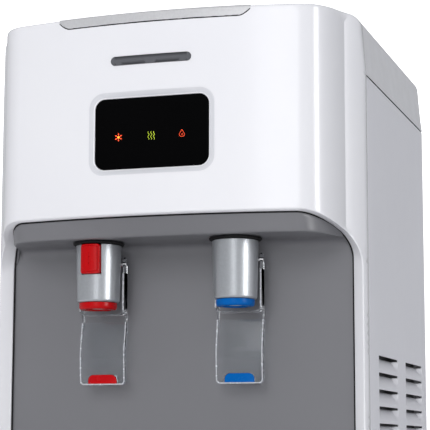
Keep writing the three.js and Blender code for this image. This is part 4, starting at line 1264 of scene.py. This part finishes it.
def tap(name, side, finish):
    """A tap: silver sleeve, coloured ring under it, seal over it, and its lever."""
    x = side * TAP_X
    low, high = SLEEVE_LOW.z, SLEEVE_HIGH.z
    wide = radius_of("cold_tap_sleeve")
    foot = wide - SLEEVE_TAPER
    profile = soften(
        [(SLEEVE_BORE, low + 1.2), (SLEEVE_BORE, low), (foot - 0.9, low), (foot, low + 1.3),
         (wide, high), (SLEEVE_BORE, high)],
        [0.1, 0.4, 0.3, 0.5, 0.3, 0.1], 4)
    sleeve = build(
        f"{name}_sleeve", [lathe(profile, x, TAP_Y, 128)], "tap_silver", [f"{name}_tap_sleeve"],
        angle=35)
    if name == "hot":
        start, end = span("hot_lock_button")
        slot_low = (start.x - BUTTON_GAP, TAP_Y - 40, start.z - BUTTON_GAP)
        carve(sleeve, [box_part(slot_low, (end.x + BUTTON_GAP, TAP_Y - 5, high + 2))])
        lock_button()
    low, high = (corner.z for corner in span(f"{name}_tap_ring"))
    wide = radius_of(f"{name}_tap_ring")
    ring = soften(
        [(RING_BORE, low + 0.9), (RING_BORE + 1.2, low), (wide - 1.0, low), (wide, low + 1.6),
         (wide, high), (RING_BORE, high)],
        [0.4, 0.8, 1.4, 1.2, 0.3, 0.2], 5)
    build(f"{name}_ring", [lathe(ring, x, TAP_Y)], finish, [f"{name}_tap_ring"], angle=40)
    low, high = (corner.z for corner in span(f"{name}_tap_seal"))
    wide = radius_of(f"{name}_tap_seal")
    seal = soften(
        [(SEAL_BORE, low), (wide - 0.6, low), (wide, high - 0.5), (wide, high), (SEAL_BORE, high)],
        0.4, 3)
    build(f"{name}_seal", [lathe(seal, x, TAP_Y)], "rubber", [f"{name}_tap_seal"], angle=40)
    lever(name, x, finish)


# ---- base and drip tray -------------------------------------------------------------------
def tray_loop(inset, z, steps=40):
    """The tray's outline with rounded corners, at one height."""
    plan = tray_plan(inset, steps)
    radii = np.zeros(len(plan))
    radii[[0, steps - 1]] = 2.6
    radii[[steps, steps + 1]] = max(6.0 - inset * 0.3, 1.5)
    return at_z(soften(plan, radii, 5), z)


def tray_curve(start, corner, end, steps):
    """A rounded fold in the tray; each place is (inset, height)."""
    return curve2(tray_loop(*start), tray_loop(*corner), tray_loop(*end), steps)


def drip_tray():
    """Tub that hangs in the deck by its flange, with a step inside for the grille."""
    low, high = span("drip_tray")
    top, floor, rest = high.z, low.z, DECK_Z + GAP
    outside = (
        (9.5, floor), (7.6, floor + 0.8), (7.0, floor + 3.0), (6.6, top - 4.2), (6.4, rest),
        (0.6, rest))
    rows = [tray_loop(*place) for place in outside]
    rows += tray_curve((0.0, top - 1.2), (0.0, top), (1.0, top), 4)
    rows += tray_curve((2.2, top), (2.9, top), (3.0, top - 0.7), 3)
    rows += [tray_loop(3.1, top - 1.6), tray_loop(8.0, top - 1.7)]
    rows += tray_curve((9.0, top - 1.8), (9.6, top - 2.0), (9.8, top - 3.2), 3)
    rows += tray_curve((11.0, floor + 7), (11.6, floor + 2.5), (17.0, floor + 2.5), 5)
    build("drip_tray_tub", capped(rows), "grey_liner", ["drip_tray"], "drip_tray", angle=40)


BAR_X = (*np.arange(-95.0, 96.0, 10.0), 100.0)
BAR_HALF = 2.4
RAIL_Y = (28, 44)  # behind the side panels' front edges, towards -Y
GRILLE_OUT, GRILLE_IN = 3.6, 11.0  # insets of the frame's two edges


def drip_grille():
    """Flat frame with bars from front to back and two rails under them."""
    low, high = span("drip_grille")
    top, bottom = high.z, low.z
    rows = [tray_loop(GRILLE_OUT + 0.6, bottom), tray_loop(GRILLE_OUT, bottom + 0.5)]
    rows += tray_curve((GRILLE_OUT, top - 0.7), (GRILLE_OUT, top), (GRILLE_OUT + 0.8, top), 3)
    rows += tray_curve((GRILLE_IN - 0.8, top), (GRILLE_IN, top), (GRILLE_IN, top - 0.7), 3)
    rows += [tray_loop(GRILLE_IN, bottom), tray_loop(GRILLE_OUT + 0.6, bottom)]
    parts = [grid_part(rows, closed=True)]
    middle_z, half_z = (top + bottom) / 2, (top - bottom) / 2 - 0.05
    for x in BAR_X:
        if abs(x) > high.x - GRILLE_IN:
            continue
        section = rounded_rect((x, middle_z), (BAR_HALF, half_z), 0.7, 1, 3, 2)
        front = SIDE_Y - inset_t(abs(x), TRAY_SET_BACK + GRILLE_IN) - 1.5
        parts += capped([at_y(section, y) for y in (front, SIDE_Y - GRILLE_IN - 2.0)])
    reach = high.x - GRILLE_IN - 0.5
    for ahead in RAIL_Y:
        rail = rounded_rect((SIDE_Y - ahead, middle_z - 0.2), (1.6, half_z - 0.25), 0.6, 1, 3, 2)
        parts.append(grid_part([at_x(rail, x) for x in (-reach, reach)], closed=True))
    build(
        "drip_grille_bars", parts, "grey_liner", ["drip_grille"], "drip_grille", angle=40,
        weld=0.001)


def feet():
    """Rubber pads, narrower at the sole."""
    for corner in ("front_left", "front_right", "rear_left", "rear_right"):
        low, high = span(f"foot_{corner}")
        radius = radius_of(f"foot_{corner}")
        profile = soften(
            [(0, 0), (radius - 4.6, 0), (radius - 4.2, 1.2), (radius - 2.2, 2.2),
             (radius, high.z - 1.5), (radius, high.z), (0, high.z)],
            [0, 0.6, 0.8, 1.5, 1.2, 0.5, 0], 4)
        turned = lathe(profile, (low.x + high.x) / 2, (low.y + high.y) / 2, 64)
        build(f"foot_pad_{corner}", [turned], "rubber", [f"foot_{corner}"], angle=40)


FUNNEL = (  # (radius, below the top, rounding)
    (24.5, 70, 0.3), (24.5, 44, 6), (52, 26, 8), (82, 12, 2), (83.4, 3.1, 0.5), (SEAT_R, 3.1, 0.6),
    (SEAT_R, 0, 1.0), (81.5, 0, 2.0), (79.5, 10, 5), (51, 23.5, 8), (22, 42, 8), (22, 70, 0.3))


def bottle_seat():
    """White funnel that takes the bottle's neck, with a spike in its throat."""
    profile = soften([(r, SEAT_HIGH.z - drop) for r, drop, _ in FUNNEL], [row[2] for row in FUNNEL], 5)
    build(
        "bottle_seat_funnel", [lathe(profile, 0, SEAT_Y, 128)], "inner_plastic", ["bottle_seat"],
        "bottle_seat", angle=40)
    low, high = (corner.z for corner in span("water_guard"))
    reach = radius_of("water_guard")
    guard = soften(
        [(0, low), (reach, low), (reach, low + 3), (11, low + 4), (10, high - 10), (7, high - 3),
         (0, high)],
        [0, 0.5, 1.0, 4, 2, 3, 0], 5)
    build(
        "water_guard_spike", [lathe(guard, 0, SEAT_Y, 64)], "inner_plastic", ["water_guard"],
        "bottle_seat", angle=40)


# ---- back ---------------------------------------------------------------------------------
def refine(node, slot, edge=0.4, body="casing", angle=28):
    """A CAD node's solid with its flat faces merged, its edges rounded and its curves smoothed."""
    bm = bmesh.new()
    bm.from_mesh(nodes[node].data)
    bmesh.ops.remove_doubles(bm, verts=bm.verts, dist=0.02 * MM)
    bmesh.ops.dissolve_limit(
        bm, angle_limit=math.radians(1.0), verts=bm.verts, edges=bm.edges, delimit={"NORMAL"})
    if edge:
        limit = math.radians(angle)
        sharp = [e for e in bm.edges if len(e.link_faces) == 2 and e.calc_face_angle(0) > limit]
        bmesh.ops.bevel(
            bm, geom=sharp, offset=edge * MM, segments=2, profile=0.5, affect="EDGES",
            clamp_overlap=True)
    bmesh.ops.recalc_face_normals(bm, faces=bm.faces)
    mesh = bpy.data.meshes.new(f"{node}_finished")
    bm.to_mesh(mesh)
    bm.free()
    shade(mesh, angle + 7)
    mesh.materials.clear()
    mesh.materials.append(FINISH[slot])
    hang(add_object(f"{node}_finished", mesh), body, [node])


def tube(path, radius, sides=10):
    """A round tube along a smooth path in space, with flat ends."""
    path = np.asarray(path, float)
    along = np.gradient(path, axis=0)
    along /= np.linalg.norm(along, axis=1)[:, None]
    across = np.cross(along, [0, 1.0, 0])
    across /= np.linalg.norm(across, axis=1)[:, None]
    section = circle(radius, sides=sides)
    return capped([p + section @ np.array([a, np.cross(d, a)]) for p, a, d in zip(path, across, along)])


COIL_RUNS, COIL_HALF = 10, 108.0
WIRE, WIRE_PITCH, WIRE_HALF, WIRE_PAST = 0.8, 5.2, 104.0, 8
BRACKET_X, BRACKET_CLEAR = 90, 2.2


def condenser():
    """Black serpentine tube with fine upright wires welded to both its faces."""
    low, high = span("condenser_tube")
    y = (low.y + high.y) / 2
    radius = (high.y - low.y) / 2
    bottom, top = low.z + radius, high.z - radius
    pitch = (top - bottom) / (COIL_RUNS - 1)
    path = []
    for run in range(COIL_RUNS):
        side = 1 if run % 2 == 0 else -1
        z = bottom + run * pitch
        path += [(x, y, z) for x in np.linspace(-side * COIL_HALF, side * COIL_HALF, 20)]
        if run < COIL_RUNS - 1:
            for a in np.linspace(0, math.pi, 14)[1:-1]:
                x = side * (COIL_HALF + pitch / 2 * math.sin(a))
                path.append((x, y, z + pitch / 2 * (1 - math.cos(a))))
    build("condenser_coil", tube(path, radius, 14), "black_enamel", ["condenser_tube"], angle=50)
    wires = []
    for x in np.arange(-WIRE_HALF, WIRE_HALF + 0.1, WIRE_PITCH):
        if abs(abs(x) - BRACKET_X) < BRACKET_CLEAR:
            continue
        for face in (-1, 1):
            ring = circle(WIRE, x, y + face * (radius + WIRE * 0.7), 6)
            wires += capped([at_z(ring, bottom - WIRE_PAST), at_z(ring, top + WIRE_PAST)])
    build("condenser_wires", wires, "black_enamel", angle=60, weld=0.001)


RECESS_DEPTH, RECESS_ARM, RECESS_WIDTH = 1.1, 2.1, 0.42


def screws():
    """Pan-head screws with a cross recess."""
    for node in (f"panel_screw_{number}" for number in range(1, 5)):
        low, high = span(node)
        (x, z), (radius, _) = face_of(node)
        stages = (
            (radius, low.y), (radius, low.y + 0.5), (radius * 0.93, high.y - 0.7),
            (radius * 0.7, high.y - 0.2), (radius * 0.35, high.y), (0.2, high.y))
        rows = [at_y(circle(r, x, z, 32), y) for r, y in stages]
        head = build(f"{node}_head", capped(rows), "steel", [node], angle=35)
        for a, b in ((RECESS_ARM, RECESS_WIDTH), (RECESS_WIDTH, RECESS_ARM)):
            carve(head, [box_part((x - a, high.y - RECESS_DEPTH, z - b), (x + a, high.y + 1, z + b))])


def rear():
    """Everything on the back panel."""
    refine("back_panel", "side_panel", 0.35)
    screws()
    condenser()
    for name in ("left", "right"):
        refine(f"condenser_bracket_{name}", "black_enamel", 0.3)
    refine("switch_plate", "black_plastic", 0.35)
    refine("hot_switch", "red_plastic", 0.5, "hot_switch")
    refine("cold_switch", "blue_plastic", 0.5, "cold_switch")
    refine("power_inlet", "black_plastic", 0.35)
    refine("drain_plug", "inner_plastic", 0.5)


# ---- works --------------------------------------------------------------------------------
WORKS = {  # slot and rounding of each inner part
    "base_plate": ("steel", 0.3),
    "display_board": ("board_green", 0.15),
    "hot_valve_body": ("inner_plastic", 0.3),
    "cold_valve_body": ("inner_plastic", 0.3),
    "hot_lever_pin": ("steel", 0.2),
    "cold_lever_pin": ("steel", 0.2),
    "hot_feed_tube": ("inner_plastic", 0),
    "cold_feed_tube": ("inner_plastic", 0),
    "seat_seal": ("rubber", 0.3),
    "cold_tank": ("steel", 0.4),
    "cold_tank_foam": ("foam", 0.8),
    "evaporator_coil": ("steel", 0),
    "hot_tank": ("steel", 0.4),
    "hot_tank_jacket": ("foam", 0.8),
    "compressor": ("black_enamel", 0),
    "compressor_mount": ("black_enamel", 0.4),
}


def works():
    """The parts inside, from the CAD solids."""
    bodies = frame["record"]["behaviour"]["bodies"]
    owner = {node: body for body, members in bodies.items() for node in members}
    for node, (slot, edge) in WORKS.items():
        refine(node, slot, edge, owner[node], 40)
    for name in ("hot", "cold"):
        refine(f"{name}_valve_stem", "rubber", 0.2, f"{name}_valve_stem", 40)


# ---- studio -------------------------------------------------------------------------------
def plain(name, color, roughness, emission=0.0):
    """One even colour, for the stage."""
    material = bpy.data.materials.new(name)
    material.use_nodes = True
    inputs = material.node_tree.nodes["Principled BSDF"].inputs
    inputs["Base Color"].default_value = (*color, 1)
    inputs["Roughness"].default_value = roughness
    inputs["Emission Color"].default_value = (*color, 1)
    inputs["Emission Strength"].default_value = emission
    return material


def sheet(name, corners, material):
    """One flat face of the stage."""
    mesh = bpy.data.meshes.new(name)
    mesh.from_pydata(corners, [], [(0, 1, 2, 3)])
    mesh.materials.append(material)
    piece = add_object(name, mesh)
    return piece


STAGE_REACH = 4.0
BACKDROP_LOW, BACKDROP_HIGH = -0.2, 3.0
LAMPS = (  # name, place, target, size, watts, and whether it shows in reflections alone
    ("key", (0.05, -2.5, 1.15), (0, 0, 0.33), (1.4, 1.2), 22, False),
    ("front_fill", (0.45, -2.4, 0.2), (0, 0, 0.26), (1.2, 0.6), 13, False),
    ("front_strip", (0.32, -2.2, 0.6), (0, 0, 0.4), (0.45, 1.8), 5, True),
    ("side_strip", (1.9, -0.75, 0.5), (0, -0.1, 0.33), (0.45, 1.6), 19, True),
)


def area_light(name, place, target, size, watts, shine):
    """Soft lamp aimed at a target; it adds either only reflections, or only rough light."""
    data = bpy.data.lights.new(name, "AREA")
    data.shape = "RECTANGLE"
    data.size, data.size_y = size
    data.energy = watts
    lamp = add_object(name, data)
    lamp.location = place
    lamp.rotation_euler = (Vector(target) - Vector(place)).to_track_quat("-Z", "Y").to_euler()
    lamp.visible_glossy = shine
    lamp.visible_diffuse = not shine


def studio():
    """Pale floor, a white wall behind to the left, and four soft lamps."""
    floor = plain("floor_white", (0.86, 0.86, 0.87), 0.7)
    corners = ((-1, -1), (1, -1), (1, 1), (-1, 1))
    sheet("floor", [(x * STAGE_REACH, y * STAGE_REACH, 0) for x, y in corners], floor)
    wall = plain("backdrop_white", (1, 1, 1), 0.9, emission=1.0)
    (x0, y0), (x1, y1) = (-3.4, 1.6), (3.4, 5.2)
    backdrop = sheet("backdrop", [
        (x0, y0, BACKDROP_LOW), (x1, y1, BACKDROP_LOW), (x1, y1, BACKDROP_HIGH),
        (x0, y0, BACKDROP_HIGH)], wall)
    backdrop.visible_glossy = False
    world = bpy.data.worlds.new("studio")
    world.use_nodes = True
    world.node_tree.nodes["Background"].inputs["Color"].default_value = (0.95, 0.965, 1.0, 1)
    world.node_tree.nodes["Background"].inputs["Strength"].default_value = 0.45
    bpy.context.scene.world = world
    for lamp in LAMPS:
        area_light(*lamp)
    bpy.context.scene.view_settings.view_transform = "Standard"


EYE = (0.41387, -1.3001, 0.16316)
LENS, SENSOR = 133.6, 36
YAW, PITCH, ROLL = (math.radians(angle) for angle in (17.661, 8.299, 0.112))


def camera():
    """To the right of the front and low, looking up at the head and alcove."""
    data = bpy.data.cameras.new("camera")
    data.lens = LENS
    data.sensor_width = SENSOR
    data.clip_start = 0.01
    eye = add_object("camera", data)
    eye.location = EYE
    level = math.cos(PITCH)
    look = Vector((-math.sin(YAW) * level, math.cos(YAW) * level, math.sin(PITCH)))
    turn = look.to_track_quat("-Z", "Y").to_matrix() @ Matrix.Rotation(ROLL, 3, "Z")
    eye.rotation_euler = turn.to_euler()
    bpy.context.scene.camera = eye


camera()
studio()
front_shell()
deck()
liner()
alcove_gap_shadow()
top_cover()
side_panel("left", -1)
side_panel("right", 1)
louvre_shade_sheets()
top_trim()
display()
badge()
tap("hot", -1, "red_plastic")
tap("cold", 1, "blue_plastic")
drip_tray()
drip_grille()
feet()
bottle_seat()
rear()
works()
